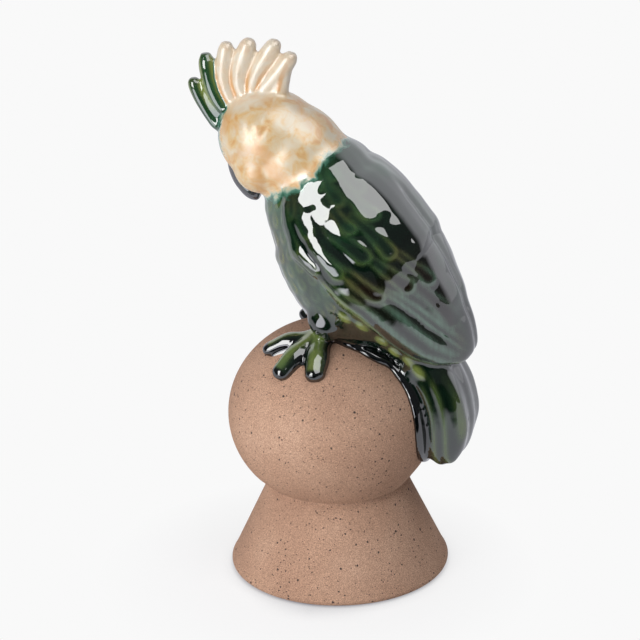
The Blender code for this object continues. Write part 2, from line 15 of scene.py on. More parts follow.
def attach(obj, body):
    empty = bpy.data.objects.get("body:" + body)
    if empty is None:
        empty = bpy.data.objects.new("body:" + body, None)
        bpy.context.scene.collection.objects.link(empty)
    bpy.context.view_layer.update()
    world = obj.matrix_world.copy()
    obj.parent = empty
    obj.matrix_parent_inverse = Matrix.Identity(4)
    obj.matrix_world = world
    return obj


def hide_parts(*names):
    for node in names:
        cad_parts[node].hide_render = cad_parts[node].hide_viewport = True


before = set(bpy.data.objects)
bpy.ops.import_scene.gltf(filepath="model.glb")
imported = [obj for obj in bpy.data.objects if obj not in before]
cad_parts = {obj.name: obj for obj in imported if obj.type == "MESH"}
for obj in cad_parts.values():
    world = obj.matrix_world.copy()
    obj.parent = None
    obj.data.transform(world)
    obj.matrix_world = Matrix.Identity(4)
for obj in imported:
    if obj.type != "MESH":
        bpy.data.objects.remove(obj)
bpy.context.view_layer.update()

MM = 0.001

# The foot and ball, round about one upright line, the ball then slid forward
FOOT_RADIUS = 0.0440
FOOT_EDGE = 0.0020
FOOT_HEIGHT = 0.0370
NECK_RADIUS = 0.0276
CREASE_FILLET = 0.0015
BALL_RADIUS = 0.0420
BALL_HALF_HEIGHT = 0.0378
BALL_FORWARD = 0.0018
VENT_RADIUS = 0.00175
VENT_OFFSET = 0.0120
VENT_DEPTH = 0.0040

# The bird's proportions: its width is a share of its depth, the rest is in metres
BIRD_WIDTH = 0.86
CREST_FEATHER = 0.0038
CREST_RIDGE = 0.0021
BEAK_RADIUS = 0.0043
THIGH_RADIUS = 0.0080
THIGH_SPREAD = 0.0165
TOE_RADIUS = 0.0028
TOE_HEIGHT = 0.0013
TAIL_HALF_WIDTH = 0.0150
TAIL_THICKNESS = 0.0162
TAIL_SIDE = 0.0069
TAIL_SEAT = 0.0020

# How far the carving stands out, in millimetres, with a feather's rim and dish as shares of its lift
WING_RELIEF = 2.0
FEATHER_LIFT = 0.9
FEATHER_RIM = 0.5
FEATHER_DISH = 0.6
BREAST_LIFT = 0.25
FLANK_LIFT = 0.9
BACK_GROOVE = 1.6
TAIL_RIDGE = 1.3
TAIL_RIDGE_PITCH = 4.6
EYE_RADIUS = 3.4
EYE_RELIEF = 0.3
# The band beside the middle of the back where the wing's relief fades out
BACK_FADE = 11.0
# How much fuller the glazed back stands than the carving: millimetres along the body, and out
BACK_FILL = (
    (0.0, 1.2), (9.0, 2.3), (19.0, 1.1), (37.0, 1.9), (46.0, 1.4), (54.0, 2.5), (73.0, 1.6), (90.0, 1.1),
)

# Glaze on the ball: its rolled edge, its fill in the forks of the toes, and its apron round each toe
GLAZE_ROLL = 0.0022
WEB_RADIUS = 0.0050
WEB_RISE = 0.0030
POOL_RADIUS = 0.0062
POOL_RISE = 0.0017

# Fineness of the skins, in metres, and the rounds of smoothing that each gets
CLAY_GRAIN = 0.0011
CLAY_ROUNDS = 14
GLAZE_GRAIN = 0.00069
GLAZE_ROUNDS = 5
TURN_STEPS = 180
ROLL_STEPS = 8
# Points closer than this, in metres, are one
WELD = 0.00002
# Edges of the foot sharper than this, in degrees, stay crisp
CRISP_ANGLE = 50
# In rounds of softening: how far the glaze flowed level, and how wide a ridge's surroundings are
GLAZE_FLOW = 14
RIDGE_REACH = 11
# Further than anything on the bird, in millimetres
FAR = 1e9

BALL_RISE = BALL_HALF_HEIGHT * math.sqrt(1 - (NECK_RADIUS / BALL_RADIUS) ** 2)
BALL_CENTRE = FOOT_HEIGHT + BALL_RISE
PERCH = BALL_CENTRE + BALL_HALF_HEIGHT

# The bird's lines, in millimetres: x, height above the perch, half depth
BODY_LINE = (
    (-22.0, 75.5, 18.5), (-14.6, 70.8, 20.4), (-8.6, 64.0, 20.4), (-3.0, 54.1, 24.6),
    (2.9, 45.8, 28.6), (7.0, 38.0, 30.2), (12.6, 28.8, 31.2), (20.0, 20.2, 30.5),
    (30.6, 12.2, 24.0), (38.8, 4.2, 18.8), (44.8, -3.5, 14.3), (47.0, -10.5, 12.0),
)
NAPE = (-10.0, 65.0)
# The pressed section's mean radius, as a share of its half depth
MEAN_RADIUS = 0.93
# The head: x, height and three half sizes. A cheek: x, height, distance out and radius
HEAD = (-23.2, 76.6, 20.6, 17.6, 18.8)
CHEEK = (-25.5, 66.4, 6.2, 10.8)
# The middle of the head and cheeks, which have no feathers carved in them
PLAIN_HEAD = (-22.0, 0.0, 73.6)
# The hooked beak and the crest feathers: x, height, and share of the full radius
BEAK_LINE = (
    (-34.6, 71.5, 0.95), (-36.3, 66.4, 1.0), (-35.5, 61.2, 1.0), (-33.0, 56.8, 1.0),
    (-29.8, 53.6, 0.93), (-27.4, 53.0, 0.7),
)
CREST_LINES = (
    (
        (-36.0, 78.0, 0.8), (-44.5, 80.3, 0.66), (-46.8, 82.9, 0.6), (-49.4, 87.1, 0.62),
        (-51.9, 92.4, 0.7), (-53.3, 97.0, 0.68), (-53.4, 98.6, 0.4),
    ),
    (
        (-35.0, 83.0, 0.8), (-41.8, 87.3, 0.76), (-45.3, 93.5, 0.84), (-47.0, 99.4, 0.9),
        (-48.0, 105.8, 0.85), (-48.4, 108.8, 0.5),
    ),
    (
        (-33.0, 84.0, 0.9), (-37.9, 89.9, 0.76), (-40.2, 94.8, 0.76), (-41.3, 100.0, 0.8),
        (-40.8, 106.0, 0.86), (-39.8, 111.5, 0.8), (-39.6, 113.8, 0.5),
    ),
    (
        (-30.0, 85.0, 1.0), (-33.5, 92.9, 0.8), (-34.9, 98.0, 0.86), (-34.5, 103.2, 0.95),
        (-32.4, 109.2, 1.02), (-30.7, 113.8, 0.84), (-30.2, 115.6, 0.5),
    ),
    (
        (-27.0, 85.0, 1.0), (-29.8, 95.1, 0.86), (-28.6, 99.6, 0.9), (-25.9, 105.3, 0.95),
        (-22.6, 110.6, 0.94), (-20.5, 114.0, 0.8), (-19.9, 115.7, 0.5),
    ),
    (
        (-24.0, 85.0, 1.0), (-25.6, 94.0, 0.95), (-22.9, 98.0, 0.95), (-19.5, 102.0, 0.98),
        (-16.4, 106.0, 0.95), (-14.2, 109.2, 0.8), (-13.5, 111.0, 0.5),
    ),
)
# The thin ridges in the grooves between the crest feathers, and the crest's back edge
CREST_RIDGES = (
    ((-37.0, 79.0, 1.0), (-43.5, 84.5, 1.0), (-47.2, 90.0, 1.0), (-49.6, 95.2, 0.9), (-50.3, 97.4, 0.6)),
    ((-34.0, 84.0, 1.0), (-40.5, 91.0, 1.0), (-43.4, 97.5, 1.0), (-44.2, 103.0, 0.9), (-43.9, 105.6, 0.6)),
    (
        (-32.0, 85.0, 1.0), (-35.9, 92.0, 0.9), (-37.8, 98.0, 0.85), (-37.6, 104.0, 0.85),
        (-36.3, 109.0, 0.6),
    ),
    (
        (-28.0, 85.0, 1.0), (-30.9, 94.0, 0.9), (-31.3, 99.0, 0.85), (-29.9, 104.5, 0.85),
        (-27.4, 109.2, 0.6),
    ),
    (
        (-25.0, 85.0, 1.0), (-27.4, 95.5, 0.9), (-25.6, 100.8, 0.85), (-21.9, 105.6, 0.85),
        (-17.8, 109.4, 0.6),
    ),
    ((-20.0, 86.0, 1.9), (-18.8, 95.5, 1.7), (-17.4, 101.0, 1.5), (-15.9, 105.0, 1.2), (-15.3, 107.0, 0.8)),
)
THIGH = (3.0, 8.0)
# The wing's mass: x, height, distance out, radius
WING_LINE = (
    (-3.0, 52.0, 13.0, 9.5), (6.0, 38.5, 17.5, 9.5), (14.5, 27.5, 18.0, 9.2),
    (24.0, 17.5, 17.0, 8.4), (34.0, 7.5, 14.0, 7.6), (43.5, -0.5, 10.0, 6.6),
    (50.0, -4.8, 7.0, 5.0), (53.6, -6.0, 5.5, 3.4),
)
EYE = (-24.3, 85.5)
# The toes in plan, from the ball's middle: their root, and each tip with its share of thickness
TOE_ROOT = (-1.0, 13.0)
TOE_TIPS = ((-22.0, 15.5, 1.1), (-14.0, 28.5, 1.4), (1.0, 30.6, 1.5))
KNUCKLES = (0.2, 0.45, 0.7)
# How much further back the right foot stands
FAR_FOOT_BACK = 6.0
# Rolls along a toe, down a fork and round a toe: shares of the way to the tip, and of the full size
TOE_STEPS = ((0.0, 1.3), (0.3, 1.0), (0.55, 1.15), (0.8, 1.0), (0.96, 0.9), (1.02, 0.5))
WEB_STEPS = ((0.1, 1.0), (0.35, 1.0), (0.52, 0.8), (0.62, 0.5))
POOL_STEPS = ((0.05, 1.0), (0.35, 1.0), (0.7, 0.95), (0.95, 0.8))
# The tail down the back of the ball: degrees up round it, and share of the full thickness
TAIL_STEPS = ((42.0, 1.0), (26.0, 1.0), (10.0, 1.0), (-3.0, 0.97), (-12.0, 0.82), (-18.0, 0.5))

# The flank that comes down behind the thigh and runs into the tail: x, height, distance out, radius
FLANK_LINE = (
    (6.0, 18.0, 13.0, 11.0), (14.0, 12.5, 13.5, 10.0), (22.0, 6.5, 11.5, 8.5),
    (29.0, 0.0, 9.8, 7.2), (35.0, -6.0, 9.0, 6.4), (39.5, -13.0, 9.0, 5.6), (41.5, -20.0, 9.0, 5.0),
)
# Small bright feathers down the flank: x, height, half length, half width
FLANK_FEATHERS = (
    (11.9, 13.3, 3.4, 1.8),
    (18.5, 9.6, 3.4, 1.8),
    (25.0, 2.2, 3.2, 1.8),
    (29.4, -3.0, 3.0, 1.8),
    (34.7, -6.8, 3.0, 1.8),
    (38.8, -11.4, 3.8, 1.8),
)

# The wing's lower edge: millimetres along the body from the nape, degrees round from the back
WING_EDGE = (
    (-4.0, 20.0), (-1.0, 76.0), (1.0, 98.0), (6.0, 119.0), (12.0, 128.0), (24.0, 130.0),
    (31.0, 122.0), (37.0, 117.0), (47.0, 114.0), (56.0, 111.0), (65.0, 112.0), (75.0, 114.0),
    (84.0, 112.0), (91.0, 96.0), (96.0, 60.0), (99.0, 15.0),
)
WING_BACK_EDGE = 9.0

# Leaf-shaped wing feathers, from the neck down: root and tip along the body, half width, place
# across the wing at root and tip, from the back edge (0) to the lower edge (1)
LEAVES = (
    (-1.0, 11.0, 2.9, 0.34, 0.33),
    (-1.0, 10.5, 2.9, 0.51, 0.50),
    (-1.0, 11.5, 2.9, 0.67, 0.67),
    (0.0, 13.0, 2.8, 0.83, 0.84),
    (6.0, 20.5, 3.3, 0.26, 0.24),
    (6.0, 19.5, 3.3, 0.43, 0.42),
    (6.0, 20.0, 3.3, 0.59, 0.58),
    (7.0, 22.0, 3.2, 0.75, 0.75),
    (8.0, 25.0, 2.9, 0.90, 0.91),
    (14.0, 31.0, 3.6, 0.34, 0.31),
    (14.0, 30.0, 3.4, 0.50, 0.49),
    (16.0, 42.0, 4.2, 0.61, 0.58),
    (18.0, 41.0, 3.0, 0.73, 0.82),
    (16.0, 35.0, 2.8, 0.89, 0.93),
    (24.0, 46.5, 3.6, 0.41, 0.42),
    (34.0, 57.0, 3.8, 0.78, 0.71),
    (38.0, 61.0, 3.9, 0.57, 0.46),
    (42.0, 63.5, 3.4, 0.40, 0.26),
    (56.0, 84.0, 4.0, 0.43, 0.20),
)
# Long flight feathers: the lines of their quills, given as the leaves are but without a width
QUILLS = (
    (34.0, 95.0, 0.97, 0.90),
    (38.0, 94.0, 0.91, 0.72),
    (40.0, 94.0, 0.82, 0.55),
    (46.0, 95.0, 0.72, 0.37),
    (50.0, 96.0, 0.66, 0.19),
    (56.0, 96.0, 0.50, 0.06),
)
QUILL_WIDTH = 1.0
# Scales of the breast
BREAST_ROWS = 13
BREAST_COLUMNS = 11
BREAST_PITCH = 6.4
BREAST_HALF_WIDTH = 2.5

# Where the glaze stopped on the ball: x, distance to each side and height from the ball's middle
GLAZE_EDGE = (
    (-5.0, 2.8, 37.4), (3.1, 10.4, 36.5), (8.5, 12.5, 35.3), (14.8, 13.4, 33.3), (20.7, 13.1, 30.7),
    (26.5, 12.4, 27.1), (30.5, 12.6, 23.5), (33.9, 13.6, 18.8), (36.1, 14.9, 14.3),
    (38.4, 15.9, 6.4), (39.0, 15.7, -2.2), (39.0, 12.5, -10.0), (38.6, 6.0, -13.5),
    (38.4, 0.0, -14.5),
)

# The cream's lower border: degrees round the neck from the back, millimetres along the body
CREAM_BORDER = ((20.0, 0.8), (36.0, 0.4), (57.0, 1.9), (84.0, 4.1), (107.0, 2.0), (146.0, -0.1))

# Lamps: degrees round, distance, height of the middle, width, height, level, the height faced, and
# the one kind of ray that doesn't see it
LAMPS = (
    ("key softbox", -29.0, 0.80, 0.32, 0.39, 0.62, 6.6, 0.32, None),
    ("overhead softbox", 55.0, 0.80, 1.25, 0.70, 0.55, 3.6, 0.12, "visible_glossy"),
    ("overhead sheen", 58.0, 0.75, 1.30, 1.50, 1.25, 2.8, 0.12, "visible_diffuse"),
)
# The level at which table and backdrop show white to the camera
BACKDROP_LEVEL = 0.947
TABLE_HALF = 4.0

# The camera, read from the photograph's perspective
CAMERA_AZIMUTH = 15.0
CAMERA_ELEVATION = 22.0
CAMERA_ROLL = 1.1
CAMERA_DISTANCE = 1.2
CAMERA_LENS = 170.8
CAMERA_SENSOR = 36.0
CAMERA_LOOK = Vector((0.0, 0.0, 0.110))
CAMERA_AIM_RIGHT = -0.0062
CAMERA_AIM_UP = -0.0047


def linear(hexa):
    """An sRGB hex colour as linear RGBA."""
    parts = [int(hexa[i:i + 2], 16) / 255 for i in (0, 2, 4)]
    return [p / 12.92 if p <= 0.04045 else ((p + 0.055) / 1.055) ** 2.4 for p in parts] + [1.0]


def link(thing):
    """Puts an object in the scene."""
    bpy.context.scene.collection.objects.link(thing)
    return thing


def worked(thing):
    """A new mesh of an object with its modifiers applied, in world places. The object itself goes."""
    bpy.context.view_layer.update()
    graph = bpy.context.evaluated_depsgraph_get()
    mesh = bpy.data.meshes.new_from_object(thing.evaluated_get(graph))
    mesh.transform(thing.matrix_world)
    bpy.data.objects.remove(thing)
    return mesh


def from_bmesh(bm, name):
    """A mesh of what a bmesh holds. The bmesh is freed."""
    mesh = bpy.data.meshes.new(name)
    bm.to_mesh(mesh)
    bm.free()
    return mesh


def place(x, height, y=0.0):
    """A point of the bird, given in millimetres from the perch, in metres."""
    return Vector((x * MM - BALL_FORWARD, y * MM, PERCH + height * MM))


def on_ball(x, y, height):
    """The point of the ball's upper surface over a place in its plan, raised by a height."""
    level = math.sqrt(1 - (x * x + y * y) / BALL_RADIUS ** 2)
    normal = Vector((x / BALL_RADIUS ** 2, y / BALL_RADIUS ** 2, level / BALL_HALF_HEIGHT)).normalized()
    return Vector((x - BALL_FORWARD, y, BALL_CENTRE + BALL_HALF_HEIGHT * level)) + normal * height


def over_ball(offset, height):
    """The point of the ball's surface on the way out from its middle, raised by a height."""
    reach = Vector((offset.x / BALL_RADIUS, offset.y / BALL_RADIUS, offset.z / BALL_HALF_HEIGHT)).length
    spot = offset / reach
    normal = Vector((spot.x / BALL_RADIUS ** 2, spot.y / BALL_RADIUS ** 2, spot.z / BALL_HALF_HEIGHT ** 2))
    return Vector((-BALL_FORWARD, 0.0, BALL_CENTRE)) + spot + normal.normalized() * height


def roll(points, radii, width=1.0, sides=5):
    """A roll of clay along a smooth line, round in section, then pressed to its width across Y."""
    curve = bpy.data.curves.new("roll", "CURVE")
    curve.dimensions = "3D"
    curve.bevel_depth = 1.0
    curve.bevel_resolution = sides
    curve.use_fill_caps = True
    spline = curve.splines.new("BEZIER")
    spline.resolution_u = ROLL_STEPS
    spline.radius_interpolation = "CARDINAL"
    spline.bezier_points.add(len(points) - 1)
    for knot, point, radius in zip(spline.bezier_points, points, radii):
        knot.co = point
        knot.radius = radius
        knot.handle_left_type = "AUTO"
        knot.handle_right_type = "AUTO"
    bm = bmesh.new()
    bm.from_mesh(worked(link(bpy.data.objects.new("roll", curve))))
    bmesh.ops.remove_doubles(bm, verts=bm.verts, dist=WELD)
    middle = sum((p.y for p in points), 0.0) / len(points)
    for vert in bm.verts:
        vert.co.y = middle + (vert.co.y - middle) * width
    return from_bmesh(bm, "roll")


def ball(centre, radii):
    """A ball of clay with its three half sizes."""
    bm = bmesh.new()
    bmesh.ops.create_uvsphere(bm, u_segments=48, v_segments=32, radius=1.0)
    for vert in bm.verts:
        vert.co = Vector(centre) + Vector([c * r for c, r in zip(vert.co, radii)])
    return from_bmesh(bm, "ball")


def merge(meshes):
    """Several meshes as one, still overlapping."""
    bm = bmesh.new()
    for mesh in meshes:
        bm.from_mesh(mesh)
    return from_bmesh(bm, "clay")


def knead(mesh, grain, smoothing):
    """Overlapping clay shapes worked into one skin, and smoothed."""
    thing = link(bpy.data.objects.new("clay", mesh))
    skin = thing.modifiers.new("skin", "REMESH")
    skin.mode = "VOXEL"
    skin.voxel_size = grain
    soften = thing.modifiers.new("soften", "SMOOTH")
    soften.factor = 0.5
    soften.iterations = smoothing
    return worked(thing)


def middle_roll(line, full, width=1.0, sides=5):
    """A roll in the bird's middle plane, from a line of x, height and share of the full radius."""
    points = [place(x, height) for x, height, share in line]
    return roll(points, [full * share for x, height, share in line], width, sides)


def side_roll(side, line):
    """A roll down one side of the bird, from a line of x, height, distance out and radius."""
    points = [place(x, height, side * out) for x, height, out, radius in line]
    return roll(points, [radius * MM for x, height, out, radius in line])


def body_shapes():
    """The head, neck and body."""
    head = ball(place(HEAD[0], HEAD[1]), [size * MM for size in HEAD[2:]])
    return [middle_roll(BODY_LINE, MM, BIRD_WIDTH, 8), head]


def side_shapes(side):
    """A flank, a cheek, a wing's mass and a thigh, on one side."""
    cheek = CHEEK[3] * MM
    thigh = place(THIGH[0], THIGH[1], side * THIGH_SPREAD / MM)
    return [
        side_roll(side, FLANK_LINE),
        ball(place(CHEEK[0], CHEEK[1], side * CHEEK[2]), (cheek, cheek, cheek)),
        side_roll(side, WING_LINE),
        ball(thigh, (THIGH_RADIUS, THIGH_RADIUS * 0.8, THIGH_RADIUS)),
    ]


def tail_shapes():
    """Rolls side by side down the back of the ball: a thick one between two flat-sided stacks."""
    half = TAIL_THICKNESS / 2
    lines = [(0.0, half - TAIL_SEAT / 2, half + TAIL_SEAT / 2)]
    for across in (-1.0, 1.0):
        for centre in (0.35 * TAIL_SIDE, 0.65 * TAIL_SIDE, TAIL_THICKNESS - 1.1 * TAIL_SIDE):
            lines.append((across, centre, TAIL_SIDE))
    shapes = []
    for across, centre, radius in lines:
        points = []
        radii = []
        for angle, thin in TAIL_STEPS:
            a = math.radians(angle)
            x = (BALL_RADIUS + centre * thin) * math.cos(a) - BALL_FORWARD
            z = BALL_CENTRE + (BALL_HALF_HEIGHT + centre * thin) * math.sin(a)
            points.append(Vector((x, across * (TAIL_HALF_WIDTH - TAIL_SIDE), z)))
            radii.append(radius * thin)
        shapes.append(roll(points, radii, 1.15 if across == 0.0 else 1.0))
    return shapes


def crest_shapes():
    """The fan of crest feathers in the bird's middle plane, with the ridges between them."""
    feathers = [middle_roll(line, CREST_FEATHER) for line in CREST_LINES]
    return feathers + [middle_roll(line, CREST_RIDGE) for line in CREST_RIDGES]


def toe_spot(side, tip, share, rise):
    """The point over the ball at a share of the way from a foot's root to a toe's tip."""
    x = TOE_ROOT[0] + (tip[0] - TOE_ROOT[0]) * share + (FAR_FOOT_BACK if side > 0 else 0.0)
    out = TOE_ROOT[1] + (tip[1] - TOE_ROOT[1]) * share
    return on_ball(x * MM, side * out * MM, rise)


def toe_roll(side, tip, steps, radius, rise):
    """A roll on the ball from a foot's root towards a tip, its middle line raised by rise."""
    points = [toe_spot(side, tip, share, rise * size) for share, size in steps]
    return roll(points, [radius * size for share, size in steps])


def foot_shapes(side):
    """A foot's three toes, the glaze that filled their forks, and the dark apron that ran off them."""
    shapes = []
    for tip in TOE_TIPS:
        rise = TOE_HEIGHT - 0.7 * TOE_RADIUS * (tip[2] - 1.0)
        shapes.append(toe_roll(side, tip, TOE_STEPS, TOE_RADIUS * tip[2], rise))
    for first, second in zip(TOE_TIPS[:-1], TOE_TIPS[1:]):
        fork = (0.5 * (first[0] + second[0]), 0.5 * (first[1] + second[1]))
        shapes.append(toe_roll(side, fork, WEB_STEPS, WEB_RADIUS, WEB_RISE - WEB_RADIUS))
    for tip in TOE_TIPS:
        shapes.append(toe_roll(side, tip, POOL_STEPS, POOL_RADIUS, POOL_RISE - POOL_RADIUS))
    return shapes


def glaze_rolls(side):
    """The thick rolled edge of the glaze on the ball, uneven as it ran."""
    shapes = []
    for inset, thick in ((0.0, 1.0), (1.7, 0.9), (3.4, 0.8)):
        points = []
        radii = []
        for count, (x, out, up) in enumerate(GLAZE_EDGE):
            wave = 0.35 * math.sin(2.3 * count + side)
            away = max(out - inset + wave, 0.0)
            down = Vector((x - 0.3 * inset * (count > 8), side * away, up))
            points.append(over_ball(down * MM, 0.25 * MM))
            radii.append(GLAZE_ROLL * thick * (1.0 + 0.18 * math.sin(3.1 * count + 0.7)))
        shapes.append(roll(points, radii))
    return shapes


def smoothstep(low, high, value):
    """0 below low, 1 above high, with a soft rise between."""
    t = np.clip((value - low) / (high - low), 0.0, 1.0)
    return t * t * (3 - 2 * t)


def read_off(value, rows):
    """A table of pairs read at a value, straight between its rows."""
    return np.interp(value, [row[0] for row in rows], [row[1] for row in rows])


def body_chart(places):
    """Along the body, round it from the back, and the section's radius there, for points in mm."""
    start = np.array(NAPE)
    end = np.array((BODY_LINE[-1][0], BODY_LINE[-1][1]))
    axis = (end - start) / np.linalg.norm(end - start)
    back = np.array((-axis[1], axis[0]))
    flat = places[:, (0, 2)] - start
    along = flat @ axis
    out = flat @ back
    turn = np.degrees(np.arctan2(np.abs(places[:, 1]), out))
    stations = [(np.array(p[:2]) - start) @ axis for p in BODY_LINE[2:]]
    radius = np.interp(along, stations, [p[2] * MEAN_RADIUS for p in BODY_LINE[2:]])
    return along, turn, radius


def feather(skin, rim, along, across, root, tip, half):
    """Lays one leaf-shaped feather over the skin: proud at its tip, rimmed, dished inside."""
    share = np.clip((along - root) / (tip - half - root), 0.0, 1.0)
    off_end = along - np.clip(along, root, tip - half)
    inside = half * (0.55 + 0.45 * share) - np.hypot(off_end, across)
    edge = np.exp(-((inside - 0.8) / 0.75) ** 2)
    dish = smoothstep(0.9, 2.6, inside)
    leaf = smoothstep(-0.2, 0.8, inside) * (0.25 + 0.75 * share)
    leaf = leaf + (FEATHER_RIM * edge - FEATHER_DISH * dish) * share
    covered = inside > 0.0
    return np.where(covered, leaf, skin), np.where(covered, edge * (0.3 + 0.7 * share), rim)


def wing_relief(along, turn, radius):
    """The folded wing: its field, its height in feather lifts, its feathers' rims and its lower hem."""
    span = np.radians(read_off(along, WING_EDGE) - WING_BACK_EDGE) * radius
    across = np.radians(turn - WING_BACK_EDGE) * radius
    field = smoothstep(0.0, 2.2, span - across) * smoothstep(0.0, BACK_FADE, across)
    field = field * smoothstep(-3.0, 8.0, along)
    share = across / np.maximum(span, 1.0)
    skin = np.zeros_like(along)
    rim = np.zeros_like(along)
    for root, tip, start, end in QUILLS:
        run = np.clip((along - root) / (tip - root), 0.0, 1.0)
        off = (share - (start + (end - start) * run)) * span
        ends = smoothstep(root, root + 8.0, along) * smoothstep(tip + 2.0, tip - 4.0, along)
        line = np.exp(-(off / QUILL_WIDTH) ** 2) * ends
        skin = np.maximum(skin, 0.7 * line)
        rim = np.maximum(rim, line)
    for root, tip, half, start, end in reversed(LEAVES):
        run = np.clip((along - root) / (tip - root), 0.0, 1.0)
        off = (share - (start + (end - start) * run)) * span
        skin, rim = feather(skin, rim, along, off, root, tip, half)
    hem = np.exp(-((span - across - 1.7) / 1.0) ** 2) * smoothstep(34.0, 52.0, along) * field
    return field, skin, rim * field, hem


def breast_relief(along, turn, radius, field):
    """Rows of small round scales over the breast, belly and flanks."""
    skin = np.zeros_like(along)
    rim = np.zeros_like(along)
    across = np.radians(180.0 - turn) * radius
    for row in reversed(range(BREAST_ROWS)):
        tip = 6.0 + row * BREAST_PITCH
        for column in range(BREAST_COLUMNS):
            middle = (column + 0.5 * (row % 2)) * BREAST_PITCH
            skin, rim = feather(skin, rim, along, across - middle, tip - 6.0, tip, BREAST_HALF_WIDTH)
    cover = (1.0 - field) * smoothstep(60.0, 80.0, turn)
    return skin * cover, rim * cover


def flank_relief(places):
    """Small leaf-shaped feathers in a row down the flank, from 0 to 1."""
    x, y, z = places.T
    best = np.zeros(len(places))
    for middle, height, length, width in FLANK_FEATHERS:
        run = (x - middle) * 0.62 - (z - height) * 0.78
        off = (x - middle) * 0.78 + (z - height) * 0.62
        best = np.maximum(best, smoothstep(1.15, 0.55, np.hypot(run / length, off / width)))
    return best * smoothstep(6.0, 9.0, np.abs(y))


def tail_relief(places):
    """Long barbs down the tail's sides and back: how high they stand, from 0 to 1."""
    x, y, z = places.T
    rise = z - (BALL_CENTRE - PERCH) / MM
    reach = np.hypot(x, rise) - BALL_RADIUS / MM
    level = np.degrees(np.arctan2(rise, x))
    inside = smoothstep(34.0, 24.0, level) * smoothstep(1.0, 3.0, reach)
    inside = inside * smoothstep(20.0, 30.0, x) * smoothstep(-34.0, -28.0, level)
    side = np.maximum(reach, 0.0) + 0.8 * np.abs(y)
    off = (side / TAIL_RIDGE_PITCH + 0.35) % 1.0 - 0.5
    inside = inside * smoothstep(8.0, 11.0, np.abs(y))
    return inside * np.exp(-(off * TAIL_RIDGE_PITCH) ** 2)


def eye_relief(places):
    """A low dome in a shallow ring on each side of the head, in millimetres."""
    x, y, z = places.T
    off = np.hypot(x - EYE[0], z - EYE[1])
    dome = smoothstep(EYE_RADIUS, 0.0, off)
    ring = np.exp(-((off - EYE_RADIUS - 0.5) / 0.9) ** 2)
    return (dome - 0.5 * ring) * EYE_RELIEF * smoothstep(8.0, 11.0, np.abs(y))


def read(mesh, what):
    """Vertex places or normals as rows."""
    flat = np.empty(len(mesh.vertices) * 3, dtype=np.float32)
    mesh.vertices.foreach_get(what, flat)
    return flat.reshape(-1, 3).astype(float)


def from_perch(metres):
    """Places in millimetres from the perch."""
    return (metres - np.array((-BALL_FORWARD, 0.0, PERCH))) / MM


def mesh_edges(mesh):
    """Each edge's two vertices, and how many edges meet at each vertex."""
    flat = np.empty(len(mesh.edges) * 2, dtype=np.int32)
    mesh.edges.foreach_get("vertices", flat)
    degree = np.bincount(flat, minlength=len(mesh.vertices)).astype(float)
    return flat.reshape(-1, 2), degree


def softened(values, edges, degree, rounds):
    """A number a vertex, averaged with its neighbours again and again."""
    for _ in range(rounds):
        total = np.bincount(edges[:, 0], values[edges[:, 1]], len(values))
        total += np.bincount(edges[:, 1], values[edges[:, 0]], len(values))
        values = 0.5 * values + 0.5 * total / degree
    return values


def off_lines(places, lines):
    """How far each point is, in the bird's middle plane, from the nearest of some lines."""
    best = np.full(len(places), FAR)
    flat = places[:, (0, 2)]
    for line in lines:
        for first, second in zip(line[:-1], line[1:]):
            start = np.array(first[:2])
            run = np.array(second[:2]) - start
            share = np.clip((flat - start) @ run / (run @ run), 0.0, 1.0)
            best = np.minimum(best, np.linalg.norm(flat - start - share[:, None] * run, axis=1))
    return best


def swelling(mesh, edges, degree, rounds):
    """How far each vertex stands above the skin's local average, in millimetres."""
    start = read(mesh, "co")
    mean = np.stack([softened(row, edges, degree, rounds) for row in start.T], axis=1)
    return np.einsum("ij,ij->i", start - mean, read(mesh, "normal")) / MM


def paint(mesh, name, values):
    """Stores one number a vertex for the materials to read."""
    layer = mesh.attributes.new(name, "FLOAT", "POINT")
    layer.data.foreach_set("value", values.astype(np.float32))


def foot_glaze(metres, places):
    """Where the toes' tops are, and where glaze piled up on the ball and round toes, from 0 to 1."""
    over = (places - np.array((0.0, 0.0, (BALL_CENTRE - PERCH) / MM))) * MM
    size = np.array((BALL_RADIUS, BALL_RADIUS, BALL_HALF_HEIGHT))
    clear = (np.linalg.norm(over / size, axis=1) - 1.0) * BALL_RADIUS / MM
    claws = np.full(len(places), FAR)
    toes = np.full(len(places), FAR)
    off_ridge = np.full(len(places), FAR)
    for side in (-1.0, 1.0):
        back = FAR_FOOT_BACK if side > 0 else 0.0
        root = np.array((TOE_ROOT[0] + back, side * TOE_ROOT[1]))
        for tip in TOE_TIPS:
            claw = np.array(toe_spot(side, tip, 1.0, TOE_HEIGHT))
            claws = np.minimum(claws, np.linalg.norm(metres - claw, axis=1) / MM)
            for share in KNUCKLES:
                spot = np.array(toe_spot(side, tip, share, TOE_HEIGHT))
                toes = np.minimum(toes, np.linalg.norm(metres - spot, axis=1) / MM)
            run = np.array((tip[0] + back, side * tip[1])) - root
            flat = places[:, :2] - root
            share = np.clip(flat @ run / (run @ run), 0.0, 1.0)
            off = np.linalg.norm(flat - share[:, None] * run, axis=1) / (TOE_RADIUS / MM * tip[2])
            off_ridge = np.minimum(off_ridge, off)
    on_toe = smoothstep(8.0, 5.0, toes)
    pool = smoothstep(3.3 - 1.9 * on_toe, 2.5 - 1.7 * on_toe, clear)
    pool = np.maximum(pool, smoothstep(4.6, 3.2, claws))
    fork = on_toe * smoothstep(0.85, 1.1, off_ridge) * smoothstep(5.5, 4.0, clear)
    top = on_toe * smoothstep(0.8, 0.3, off_ridge) * smoothstep(2.2, 3.6, clear)
    return top, np.maximum(pool, fork)


